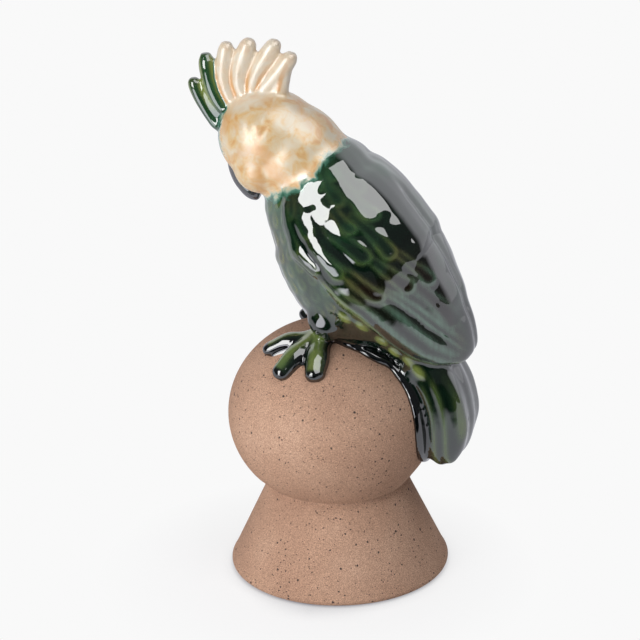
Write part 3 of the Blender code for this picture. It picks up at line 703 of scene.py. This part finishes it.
def head_glaze(places, along, turn):
    """Where the crest, its grooves and the beak are, from 0 to 1, then two distances in millimetres.

    The first is how far inside the cream's border each point is, the second how far it is from the
    middle lines of the two green crest feathers.
    """
    x, y, z = places.T
    crest = smoothstep(86.0, 90.0, z - 0.35 * (x + 38.0))
    to_green = off_lines(places, CREST_LINES[:2])
    split = np.where(x > -36.0, 9.0, 2.2 * (to_green - off_lines(places, CREST_LINES[2:4])))
    front = 1.2 * (x + 0.12 * (z - 90.0) + 42.5)
    head = np.minimum(read_off(turn, CREAM_BORDER) - along, front)
    cream = (1.0 - crest) * head + crest * split
    off_head = (places - np.array((HEAD[0], 0.0, HEAD[1]))) / np.array(HEAD[2:])
    groove = smoothstep(1.3, 0.5, off_lines(places, CREST_RIDGES[1:]))
    groove = groove * smoothstep(1.02, 1.10, np.linalg.norm(off_head, axis=1))
    beak = smoothstep(4.9, 3.6, np.abs(y)) * smoothstep(73.0, 69.0, z) * smoothstep(45.0, 48.0, z)
    beak = beak * smoothstep(-29.0, -31.0, x + 0.55 * (z - 60.0))
    return crest, crest * groove * smoothstep(110.0, 96.0, z), beak, cream, to_green


def glaze(mesh):
    """Carves the feathers, drowns them in thick glaze, and marks where each colour shows."""
    metres = read(mesh, "co")
    normals = read(mesh, "normal")
    places = from_perch(metres)
    x, y, z = places.T
    along, turn, radius = body_chart(places)
    edges, degree = mesh_edges(mesh)
    off_head = np.linalg.norm(places - np.array(PLAIN_HEAD), axis=1)
    on_body = smoothstep(21.0, 27.0, off_head) * smoothstep(100.0, 95.0, along)
    field, skin, rim, hem = wing_relief(along, turn, radius)
    scales, scale_rim = breast_relief(along, turn, radius, field)
    barbs = tail_relief(places)
    flank = flank_relief(places) * (1.0 - field)
    # The feathers lie lower under the thick glaze of the shoulder and the back
    lift = FEATHER_LIFT * (0.2 + 0.8 * smoothstep(12.0, 32.0, along))
    lift = lift * (0.2 + 0.8 * smoothstep(28.0, 56.0, turn))
    height = on_body * (field * (WING_RELIEF + lift * skin) + BREAST_LIFT * scales)
    groove = np.exp(-(y / 2.0) ** 2) * smoothstep(18.0, 34.0, along)
    height = height - on_body * groove * BACK_GROOVE * smoothstep(90.0, 60.0, turn)
    fill = on_body * read_off(along, BACK_FILL)
    height = height + fill * smoothstep(80.0, 32.0, turn) * smoothstep(-4.0, 6.0, along)
    height = height + TAIL_RIDGE * barbs + FLANK_LIFT * flank
    height = softened(height, edges, degree, GLAZE_FLOW) + eye_relief(places)
    moved = metres + normals * height[:, None] * MM
    mesh.vertices.foreach_set("co", moved.ravel())
    mesh.update()
    # The glaze broke thin on rims, ridges, the tops of the toes and the wing's hem
    crown = smoothstep(84.0, 90.0, z) + 0.35 * smoothstep(12.0, 4.0, z) * (along < 90.0)
    ridges = smoothstep(0.15, 0.6, swelling(mesh, edges, degree, RIDGE_REACH)) * np.clip(crown, 0.0, 1.0)
    rim = rim * (0.15 + 0.85 * smoothstep(14.0, 32.0, along)) * smoothstep(12.0, 30.0, turn)
    scale_rim = scale_rim * smoothstep(8.0, 20.0, z)
    toe_top, pool = foot_glaze(metres, places)
    thin = on_body * np.maximum(rim, 0.8 * scale_rim) + 0.3 * barbs + ridges + 0.6 * flank
    thin = thin + toe_top * (1.0 - pool) + on_body * hem
    # It pooled deep between the wing's feathers, on the tail and under the belly
    deep = on_body * np.clip(1.0 - skin, 0.0, 1.0) * field
    tail = smoothstep(-2.0, -10.0, z) * smoothstep(24.0, 32.0, x)
    belly = (1.0 - field) * smoothstep(16.0, 6.0, z) * (1.0 - smoothstep(0.0, 0.5, flank))
    deep = np.maximum(deep, 1.4 * np.maximum(tail, belly) * (1.0 - barbs)) * (1.0 - toe_top)
    crest, crest_groove, beak, cream, to_green = head_glaze(places, along, turn)
    # It is lime green on the flank's feathers, the wing's hem and the edges of the green crest feathers
    lime = 0.8 * flank + 0.35 * barbs ** 4 + 0.35 * toe_top * (1.0 - pool) + 0.55 * on_body * hem
    lime = lime + 0.9 * crest * smoothstep(1.3, 2.3, to_green) * smoothstep(84.0, 92.0, z)
    for name, values, rounds in (("thin_glaze", thin, 2), ("deep_glaze", deep, 3), ("bare_lime", lime, 2)):
        paint(mesh, name, np.clip(softened(values, edges, degree, rounds), 0.0, 1.0))
    paint(mesh, "crest", crest)
    paint(mesh, "crest_groove", crest_groove)
    paint(mesh, "cream_edge", np.where(beak > 0.5, -9.0, cream))
    paint(mesh, "beak_glaze", beak)
    paint(mesh, "glaze_pool", pool)
    paint(mesh, "lay_along", along * MM)
    paint(mesh, "lay_across", np.radians(turn) * radius * MM)
    paint(mesh, "low_wing", smoothstep(38.0, 66.0, along) * field)


def bird_skin():
    """The glazed bird's fine mesh."""
    masses = body_shapes() + tail_shapes()
    for side in (-1.0, 1.0):
        masses = masses + side_shapes(side)
    clay = knead(merge(masses), CLAY_GRAIN, CLAY_ROUNDS)
    beak = middle_roll(BEAK_LINE, BEAK_RADIUS)
    parts = [clay, beak] + crest_shapes()
    for side in (-1.0, 1.0):
        parts = parts + foot_shapes(side) + glaze_rolls(side)
    clay = knead(merge(parts), GLAZE_GRAIN, GLAZE_ROUNDS)
    glaze(clay)
    return clay


def base_outline():
    """Outer line of the turned base, from the top of the ball to the middle of the underside."""
    points = []
    crease = math.asin(BALL_RISE / BALL_HALF_HEIGHT)
    arc_steps = 60
    for step in range(arc_steps):
        a = math.pi / 2 - (math.pi / 2 + crease) * step / arc_steps
        points.append((BALL_RADIUS * math.cos(a), BALL_CENTRE + BALL_HALF_HEIGHT * math.sin(a)))
    lean = (FOOT_RADIUS - NECK_RADIUS) / (FOOT_HEIGHT - FOOT_EDGE)
    for step in range(7):
        off = 1 - step / 3
        hollow = CREASE_FILLET * (0.2 + 0.25 * off * off) + max(-off, 0.0) * CREASE_FILLET * lean
        points.append((NECK_RADIUS + hollow, FOOT_HEIGHT + CREASE_FILLET * off))
    for step in range(1, 12):
        share = step / 12
        z = FOOT_HEIGHT - CREASE_FILLET + (2 * FOOT_EDGE - FOOT_HEIGHT) * share
        points.append((NECK_RADIUS + (FOOT_HEIGHT - z) * lean, z))
    for step in range(9):
        a = math.radians(25 - 115 * step / 8)
        points.append((FOOT_RADIUS - FOOT_EDGE * (1 - math.cos(a)), FOOT_EDGE * (1 + math.sin(a))))
    for share in (0.75, 0.5, 0.25):
        points.append((FOOT_RADIUS * share, 0.0))
    points.append((0.0, 0.0))
    points[0] = (0.0, PERCH)
    return points


def turned_base():
    """The ball and foot, turned in one, the ball slid a little forward."""
    mesh = bpy.data.meshes.new("wheel")
    verts = [(r, 0.0, z) for r, z in base_outline()]
    mesh.from_pydata(verts, [(i, i + 1) for i in range(len(verts) - 1)], [])
    thing = link(bpy.data.objects.new("wheel", mesh))
    spin = thing.modifiers.new("turn", "SCREW")
    spin.steps = TURN_STEPS
    spin.render_steps = TURN_STEPS
    spin.use_merge_vertices = True
    spin.merge_threshold = WELD
    made = worked(thing)
    for vert in made.vertices:
        rise = (vert.co.z - FOOT_HEIGHT + 0.004) / 0.010
        vert.co.x -= BALL_FORWARD * min(max(rise, 0.0), 1.0)
    return made


def vented(mesh):
    """The vent hole bored up into the underside."""
    bm = bmesh.new()
    bmesh.ops.create_cone(bm, cap_ends=True, segments=40, radius1=VENT_RADIUS, radius2=VENT_RADIUS,
                          depth=2 * VENT_DEPTH)
    bmesh.ops.translate(bm, verts=bm.verts, vec=(VENT_OFFSET, 0.0, 0.0))
    bit = link(bpy.data.objects.new("drill", from_bmesh(bm, "drill")))
    thing = link(bpy.data.objects.new("base", mesh))
    step = thing.modifiers.new("vent", "BOOLEAN")
    step.operation = "DIFFERENCE"
    step.solver = "EXACT"
    step.object = bit
    made = worked(thing)
    bpy.data.objects.remove(bit)
    return made


def blank_material(name):
    """A material with an empty tree, and the tree."""
    made = bpy.data.materials.new(name)
    made.use_nodes = True
    made.node_tree.nodes.clear()
    return made, made.node_tree


def add(tree, kind, settings=None, links=None):
    """Adds a node with its settings and its links, and gives its first live output.

    Sockets go by name, or by place where a name is shared. A setting that is no socket is the node's
    own, hex text is a colour, and stops are the places and colours of a ramp.
    """
    node = tree.nodes.new("ShaderNode" + kind)
    for key, value in (settings or {}).items():
        if isinstance(key, str) and hasattr(node, key):
            setattr(node, key, value)
        elif key == "stops":
            band = node.color_ramp
            while len(band.elements) < len(value):
                band.elements.new(0.5)
            for element, (place_at, hexa) in zip(band.elements, value):
                element.position = place_at
                element.color = linear(hexa)
        else:
            node.inputs[key].default_value = linear(value) if isinstance(value, str) else value
    for key, source in (links or {}).items():
        tree.links.new(source, node.inputs[key])
    return next(output for output in node.outputs if output.enabled) if node.outputs else node


def stoneware():
    """Bare stoneware: buff clay with iron specks, cast and sponged, dry and matt, fired unglazed.

    The eye reads a fine sandy tooth all over, slow warm and pale clouds, and dark iron specks.
    """
    made, tree = blank_material("bare speckled stoneware")
    where = add(tree, "TexCoord").node.outputs["Object"]
    # Clouds of paler clay about 35 mm across
    clouds = add(tree, "TexNoise", {"Scale": 28.0, "Detail": 3.0}, {"Vector": where})
    body = add(tree, "ValToRGB", {"stops": ((0.32, "AF8E79"), (0.5, "B89781"), (0.68, "C2A28C"))},
               {"Fac": clouds})
    # Sand grains of 0.33 mm
    sand = add(tree, "TexNoise", {"Scale": 3000.0, "Detail": 1.0, "Roughness": 0.6}, {"Vector": where})
    grains = add(tree, "ValToRGB", {"stops": ((0.30, "7C736E"), (0.5, "BAB4B0"), (0.72, "E4DFDB"))},
                 {"Fac": sand})
    body = add(tree, "Mix", {"data_type": "RGBA", "blend_type": "OVERLAY", 0: 0.75}, {6: body, 7: grains})
    # Iron specks of 0.1 to 1.2 mm, ragged at their edges, in three sizes: specks to the metre, share
    # of places left out, and the largest speck's half width in its own spacing
    wobble = add(tree, "TexNoise", {"Scale": 1100.0, "Detail": 1.0}, {"Vector": where}).node
    bent = add(tree, "VectorMath", {"operation": "SCALE", "Scale": 0.0005}, {0: wobble.outputs["Color"]})
    shifted = add(tree, "VectorMath", {"operation": "ADD"}, {0: where, 1: bent})
    for spacing, threshold, size in ((330.0, 0.30, 0.165), (520.0, 0.32, 0.175), (820.0, 0.42, 0.20)):
        cells = add(tree, "TexVoronoi", {"Scale": spacing, "Randomness": 1.0}, {"Vector": shifted})
        lot = add(tree, "SeparateColor", {}, {"Color": cells.node.outputs["Color"]}).node
        chosen = add(tree, "Math", {"operation": "GREATER_THAN", 1: threshold}, {0: lot.outputs[0]})
        reach = add(tree, "Math", {"operation": "MULTIPLY_ADD", 1: size, 2: 0.04}, {0: lot.outputs[1]})
        near = add(tree, "Math", {"operation": "SUBTRACT"}, {0: reach, 1: cells})
        spot = add(tree, "Math", {"operation": "MULTIPLY", 1: 25.0, "use_clamp": True}, {0: near})
        spot = add(tree, "Math", {"operation": "MULTIPLY"}, {0: spot, 1: chosen})
        body = add(tree, "Mix", {"data_type": "RGBA", 7: "463A38"}, {0: spot, 6: body})
    # The tooth of the dry clay
    tooth = add(tree, "Bump", {"Strength": 0.5, "Distance": 0.00008}, {"Height": sand})
    shader = add(tree, "BsdfPrincipled", {"Roughness": 0.9, "IOR": 1.5, "Specular IOR Level": 0.25},
                 {"Base Color": body, "Normal": tooth})
    add(tree, "OutputMaterial", {}, {"Surface": shader})
    return made


def reactive_glaze():
    """Reactive stoneware glaze: green over the body, cream on head and crest, laid thick and run.

    It breaks yellow-green and brown where it is thin on the feathers' rims, turns deep and dark where
    it pooled in the hollows and where it piled up on the ball, and lies over all as clear glass.
    """
    made, tree = blank_material("green and cream reactive glaze")
    where = add(tree, "TexCoord").node.outputs["Object"]
    drawn = {}
    for name in ("thin_glaze", "deep_glaze", "glaze_pool", "lay_along", "lay_across", "low_wing",
                 "beak_glaze", "cream_edge", "crest", "crest_groove", "bare_lime"):
        drawn[name] = add(tree, "Attribute", {"attribute_name": name}).node.outputs["Fac"]
    # The glaze flowed along the feathers: streaks 1.5 mm across and 12 mm long
    lay = add(tree, "CombineXYZ", {}, {"X": drawn["lay_along"], "Y": drawn["lay_across"]})
    long_lay = add(tree, "VectorMath", {"operation": "MULTIPLY", 1: (0.14, 1.0, 1.0)}, {0: lay})
    streaks = add(tree, "TexNoise", {"Scale": 620.0, "Detail": 3.0, "Roughness": 0.6},
                  {"Vector": long_lay})
    # Patches 13 mm across where the glaze took more copper or more iron, in wider hazes of 24 mm, and
    # a paler green on the shoulder
    patches = add(tree, "TexNoise", {"Scale": 75.0, "Detail": 3.0, "Roughness": 0.55}, {"Vector": where})
    hazes = add(tree, "TexNoise", {"Scale": 42.0, "Detail": 2.0}, {"Vector": where})
    green = add(tree, "ValToRGB", {"stops": (
        (0.30, "0C1D14"), (0.44, "10271A"), (0.54, "173220"), (0.62, "1D3F28"), (0.72, "244C36"),
    )}, {"Fac": patches})
    shoulder = add(tree, "MapRange", {"From Min": 0.024, "From Max": 0.004, "To Max": 0.4},
                   {"Value": drawn["lay_along"]})
    # Iron shows brown over the long feathers, where the glaze ran thin, and the hollows are darkest
    iron = add(tree, "Math", {"operation": "MULTIPLY_ADD", 1: 0.45}, {0: drawn["low_wing"], 2: hazes})
    iron = add(tree, "MapRange", {"From Min": 0.60, "From Max": 0.82, "To Max": 0.9}, {"Value": iron})
    hollow = add(tree, "Math", {"operation": "MULTIPLY", 1: 0.8}, {0: drawn["deep_glaze"]})
    for colour, share in (("2C5230", shoulder), ("2A1712", iron), ("08130E", hollow)):
        green = add(tree, "Mix", {"data_type": "RGBA", 7: colour}, {0: share, 6: green})
    # Yellow-green breaks over the rims; over the long feathers' quills it goes a greyer teal, part their
    # own colour and part a painted reflection
    lime = add(tree, "ValToRGB", {"stops": ((0.40, "3F5C3A"), (0.52, "586A35"), (0.62, "7F7D45"))},
               {"Fac": hazes})
    lime = add(tree, "Mix", {"data_type": "RGBA", 7: "5E7E6C"}, {0: drawn["low_wing"], 6: lime})
    broken = add(tree, "Math", {"operation": "ADD", 1: 0.22}, {0: streaks})
    broken = add(tree, "Math", {"operation": "MULTIPLY", "use_clamp": True},
                 {0: broken, 1: drawn["thin_glaze"]})
    green = add(tree, "Mix", {"data_type": "RGBA"}, {0: broken, 6: green, 7: lime})
    for colour, share in (("7F8C48", "bare_lime"), ("3F3E44", "beak_glaze")):
        green = add(tree, "Mix", {"data_type": "RGBA", 7: colour}, {0: drawn[share], 6: green})
    # Cream, mottled amber in soft spots 5 mm across
    mottle = add(tree, "TexNoise",
                 {"Scale": 210.0, "Detail": 3.0, "Roughness": 0.55, "Distortion": 0.6},
                 {"Vector": where})
    ivory = add(tree, "ValToRGB", {"stops": (
        (0.36, "D6C7AC"), (0.47, "D6BE96"), (0.57, "D6B27A"), (0.68, "CE9A5C"),
    )}, {"Fac": mottle})
    # Amber clouds 18 mm across where the cream lay thin, and amber in the crest's grooves
    amber = add(tree, "TexNoise",
                {"Scale": 55.0, "Detail": 3.0, "Roughness": 0.6, "Distortion": 0.6},
                {"Vector": where})
    amber = add(tree, "MapRange", {"From Min": 0.46, "From Max": 0.66, "To Max": 0.62}, {"Value": amber})
    grooved = add(tree, "Math", {"operation": "MULTIPLY", 1: 0.95}, {0: drawn["crest_groove"]})
    plain_head = add(tree, "Math", {"operation": "SUBTRACT", 0: 1.0}, {1: drawn["crest"]})
    amber = add(tree, "Math", {"operation": "MULTIPLY_ADD"}, {0: amber, 1: plain_head, 2: grooved})
    whiter = add(tree, "Math", {"operation": "MULTIPLY", 1: 0.6}, {0: drawn["crest"]})
    for colour, share in (("E0D6C6", whiter), ("D29A58", amber)):
        ivory = add(tree, "Mix", {"data_type": "RGBA", 7: colour}, {0: share, 6: ivory})
    # The cream's ragged border, with a milky teal wash under it, less ragged on the crest
    ragged = add(tree, "Math", {"operation": "MULTIPLY_ADD", 1: -7.0, 2: 8.5}, {0: drawn["crest"]})
    edge = add(tree, "Math", {"operation": "SUBTRACT", 1: 0.5}, {0: mottle})
    edge = add(tree, "Math", {"operation": "MULTIPLY_ADD"}, {0: edge, 1: ragged, 2: drawn["cream_edge"]})
    edge = add(tree, "MapRange", {"From Min": -2.8, "From Max": 2.2}, {"Value": edge})
    wash = add(tree, "ValToRGB", {"stops": (
        (0.10, "1E4A36"), (0.42, "54806E"), (0.62, "A4B5A2"), (0.9, "DCCBAE"),
    )}, {"Fac": edge})
    colour = green
    for low, high, layer in ((0.02, 0.25, wash), (0.55, 0.95, ivory)):
        share = add(tree, "MapRange", {"From Min": low, "From Max": high}, {"Value": edge})
        colour = add(tree, "Mix", {"data_type": "RGBA"}, {0: share, 6: colour, 7: layer})
    # Black where the glaze piled up on the ball and round the claws
    colour = add(tree, "Mix", {"data_type": "RGBA", 7: "060A0B"}, {0: drawn["glaze_pool"], 6: colour})
    # The green melted to clear glass, the cream stayed a little milky
    milky = add(tree, "MapRange",
                {"From Min": 0.4, "From Max": 1.0, "To Min": 0.035, "To Max": 0.33},
                {"Value": edge})
    # The glaze's own skin is not quite level: swells 5 mm across
    swell = add(tree, "TexNoise", {"Scale": 200.0, "Detail": 1.0}, {"Vector": where})
    skin = add(tree, "Bump", {"Strength": 0.10, "Distance": 0.0004}, {"Height": swell})
    shader = add(tree, "BsdfPrincipled", {"IOR": 1.65, "Specular IOR Level": 1.0},
                 {"Base Color": colour, "Roughness": milky, "Normal": skin})
    add(tree, "OutputMaterial", {}, {"Surface": shader})
    return made


def studio_floor():
    """A matt white table, pale to the camera and in the glaze, with a painted pool of light and a soft
    shadow, partly painted.
    """
    made, tree = blank_material("white table")
    path = add(tree, "LightPath").node
    where = add(tree, "TexCoord").node.outputs["Object"]
    # Round the foot the table is lit by the lamps, and its glow carries a painted shadow where the foot
    # stands over it
    away = add(tree, "VectorMath", {"operation": "DISTANCE", 1: (-0.005, -0.015, 0.0)}, {0: where})
    away = away.node.outputs["Value"]
    near = add(tree, "MapRange",
               {"From Min": 0.046, "From Max": 0.090, "To Min": 1.0, "To Max": 0.0}, {"Value": away})
    shade = add(tree, "AmbientOcclusion", {"samples": 8, "Distance": 0.015}).node.outputs["AO"]
    shade = add(tree, "Math", {"operation": "POWER", 1: 1.8}, {0: shade})
    # The painted shadow fades out at the foot's left and right, wholly 0.12 m out
    spot = add(tree, "SeparateXYZ", {}, {0: where}).node
    aside = add(tree, "Math", {"operation": "ABSOLUTE"}, {0: spot.outputs["X"]})
    shade = add(tree, "Math", {"operation": "MULTIPLY_ADD", 1: 8.0, "use_clamp": True},
                {0: aside, 2: shade})
    # Painted shadow: the glow turns grey where the occlusion round the foot is deep
    painted_shadow_colour = add(tree, "Mix", {"data_type": "RGBA", 6: "86868E", 7: "FFFFFF"}, {0: shade})
    matt = add(tree, "BsdfDiffuse", {"Color": (0.21, 0.21, 0.214, 1.0)})
    glow_with_painted_shadow = add(tree, "Emission", {"Strength": 0.775}, {"Color": painted_shadow_colour})
    lit_with_painted_shadow = add(tree, "AddShader", {}, {0: matt, 1: glow_with_painted_shadow})
    clear = add(tree, "Emission", {"Color": "FFFFFF", "Strength": BACKDROP_LEVEL})
    both = add(tree, "MixShader", {}, {0: near, 1: clear, 2: lit_with_painted_shadow})
    # To the light that falls on it the table is plain matt white
    plain = add(tree, "BsdfDiffuse", {"Color": (0.8, 0.8, 0.8, 1.0)})
    # The table fades out 0.14 to 0.20 m towards the camera, further out at the bird's back: beyond it
    # the glaze shows a dark room
    front = add(tree, "Math", {"operation": "MAXIMUM", 1: 0.0}, {0: spot.outputs["X"]})
    front = add(tree, "Math", {"operation": "MULTIPLY_ADD", 1: 0.65}, {0: front, 2: spot.outputs["Y"]})
    edge = add(tree, "MapRange",
               {"interpolation_type": "SMOOTHSTEP", "From Min": -0.195, "From Max": -0.135, "To Max": 0.82},
               {"Value": front})
    # A painted pool of light glows on the table before the bird, where the key lamp falls, in an oval
    # of 0.27 by 0.42 m, and shows only in the glaze
    pool = add(tree, "VectorMath",
               {"operation": "MULTIPLY_ADD", 1: (7.4, 4.8, 0.0), 2: (1.6, 1.85, 0.0)}, {0: where})
    pool = add(tree, "VectorMath", {"operation": "LENGTH"}, {0: pool}).node.outputs["Value"]
    pool = add(tree, "MapRange", {"From Min": 1.1, "From Max": 0.85}, {"Value": pool})
    # The painted pool of light raises the table's glow as the glaze sees it
    level = add(tree, "Math", {"operation": "MULTIPLY_ADD", 1: 3.4}, {0: pool, 2: edge})
    white_or_dark = add(tree, "Emission", {"Color": "F3F4FC"}, {"Strength": level})
    seen = add(tree, "MixShader", {}, {0: path.outputs["Is Glossy Ray"], 1: plain, 2: white_or_dark})
    whole = add(tree, "MixShader", {}, {0: path.outputs["Is Camera Ray"], 1: seen, 2: both})
    add(tree, "OutputMaterial", {}, {"Surface": whole})
    return made


def studio_room():
    """The light all round: white walls behind and at the sides, a dark room towards the camera.

    The glaze shows the walls. What they light is lit more from the left than from the right.
    """
    world = bpy.data.worlds.new("studio")
    bpy.context.scene.world = world
    world.use_nodes = True
    tree = world.node_tree
    tree.nodes.clear()
    path = add(tree, "LightPath").node
    way = add(tree, "TexCoord").node.outputs["Generated"]
    parts = add(tree, "SeparateXYZ", {}, {0: way}).node
    walls = add(tree, "MapRange",
                {"From Min": 0.16, "From Max": 0.50, "To Min": 0.06, "To Max": 1.15},
                {"Value": parts.outputs["Y"]})
    soft = add(tree, "MapRange",
               {"From Min": -1.0, "From Max": 1.0, "To Min": 0.48, "To Max": 0.16},
               {"Value": parts.outputs["X"]})
    walls = add(tree, "Mix", {"data_type": "FLOAT"},
                {0: path.outputs["Is Glossy Ray"], 2: soft, 3: walls})
    room = add(tree, "Background", {"Color": "F6F7FD"}, {"Strength": walls})
    backdrop = add(tree, "Background", {"Color": "FFFFFF", "Strength": BACKDROP_LEVEL})
    whole = add(tree, "MixShader", {}, {0: path.outputs["Is Camera Ray"], 1: room, 2: backdrop})
    add(tree, "OutputWorld", {}, {"Surface": whole})


def softbox(name, azimuth, distance, middle, width, height, level, faced, unseen):
    """A rectangular soft lamp, turned to face a height on the figurine's axis."""
    lamp = bpy.data.lights.new(name, "AREA")
    lamp.shape = "RECTANGLE"
    lamp.size = width
    lamp.size_y = height
    lamp.energy = level * math.pi * width * height
    a = math.radians(azimuth)
    thing = link(bpy.data.objects.new(name, lamp))
    thing.location = Vector((math.sin(a) * distance, -math.cos(a) * distance, middle))
    way = thing.location - Vector((0.0, 0.0, faced))
    thing.rotation_euler = way.to_track_quat("Z", "Y").to_euler()
    thing.visible_camera = False
    if unseen:
        setattr(thing, unseen, False)


def camera():
    """The camera at the photograph's viewing angle."""
    a = math.radians(CAMERA_AZIMUTH)
    e = math.radians(CAMERA_ELEVATION)
    right = Vector((math.cos(a), math.sin(a), 0.0))
    back = Vector((math.sin(a) * math.cos(e), -math.cos(a) * math.cos(e), math.sin(e)))
    up = back.cross(right)
    spot = CAMERA_LOOK + back * CAMERA_DISTANCE
    aim = CAMERA_LOOK + right * CAMERA_AIM_RIGHT + up * CAMERA_AIM_UP
    z = (spot - aim).normalized()
    x = up.cross(z).normalized()
    y = z.cross(x)
    roll_by = math.radians(CAMERA_ROLL)
    turned_x = x * math.cos(roll_by) - y * math.sin(roll_by)
    turned_y = x * math.sin(roll_by) + y * math.cos(roll_by)
    lens = bpy.data.cameras.new("camera")
    lens.lens = CAMERA_LENS
    lens.sensor_width = CAMERA_SENSOR
    thing = link(bpy.data.objects.new("camera", lens))
    thing.matrix_world = Matrix.Translation(spot) @ Matrix((turned_x, turned_y, z)).transposed().to_4x4()
    bpy.context.scene.camera = thing


def piece(name, mesh, finish):
    """A visible piece of the figurine, which stands for its solid."""
    mesh.materials.clear()
    mesh.materials.append(finish)
    mesh.shade_smooth()
    thing = link(bpy.data.objects.new(name, mesh))
    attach(thing, "root")
    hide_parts("parrot_figurine")
    return thing


def studio():
    """Floor, room, lamps and camera."""
    mesh = bpy.data.meshes.new("table")
    corners = [(x * TABLE_HALF, y * TABLE_HALF, 0.0) for x, y in ((-1, -1), (1, -1), (1, 1), (-1, 1))]
    mesh.from_pydata(corners, [], [(0, 1, 2, 3)])
    mesh.materials.append(studio_floor())
    link(bpy.data.objects.new("table", mesh))
    studio_room()
    for lamp in LAMPS:
        softbox(*lamp)
    camera()
    bpy.context.scene.view_settings.view_transform = "Standard"


def dress():
    """The two finishes of the one casting."""
    base = piece("ball_and_foot", vented(turned_base()), stoneware())
    base.data.set_sharp_from_angle(angle=math.radians(CRISP_ANGLE))
    piece("glazed_bird", bird_skin(), reactive_glaze())


dress()
studio()
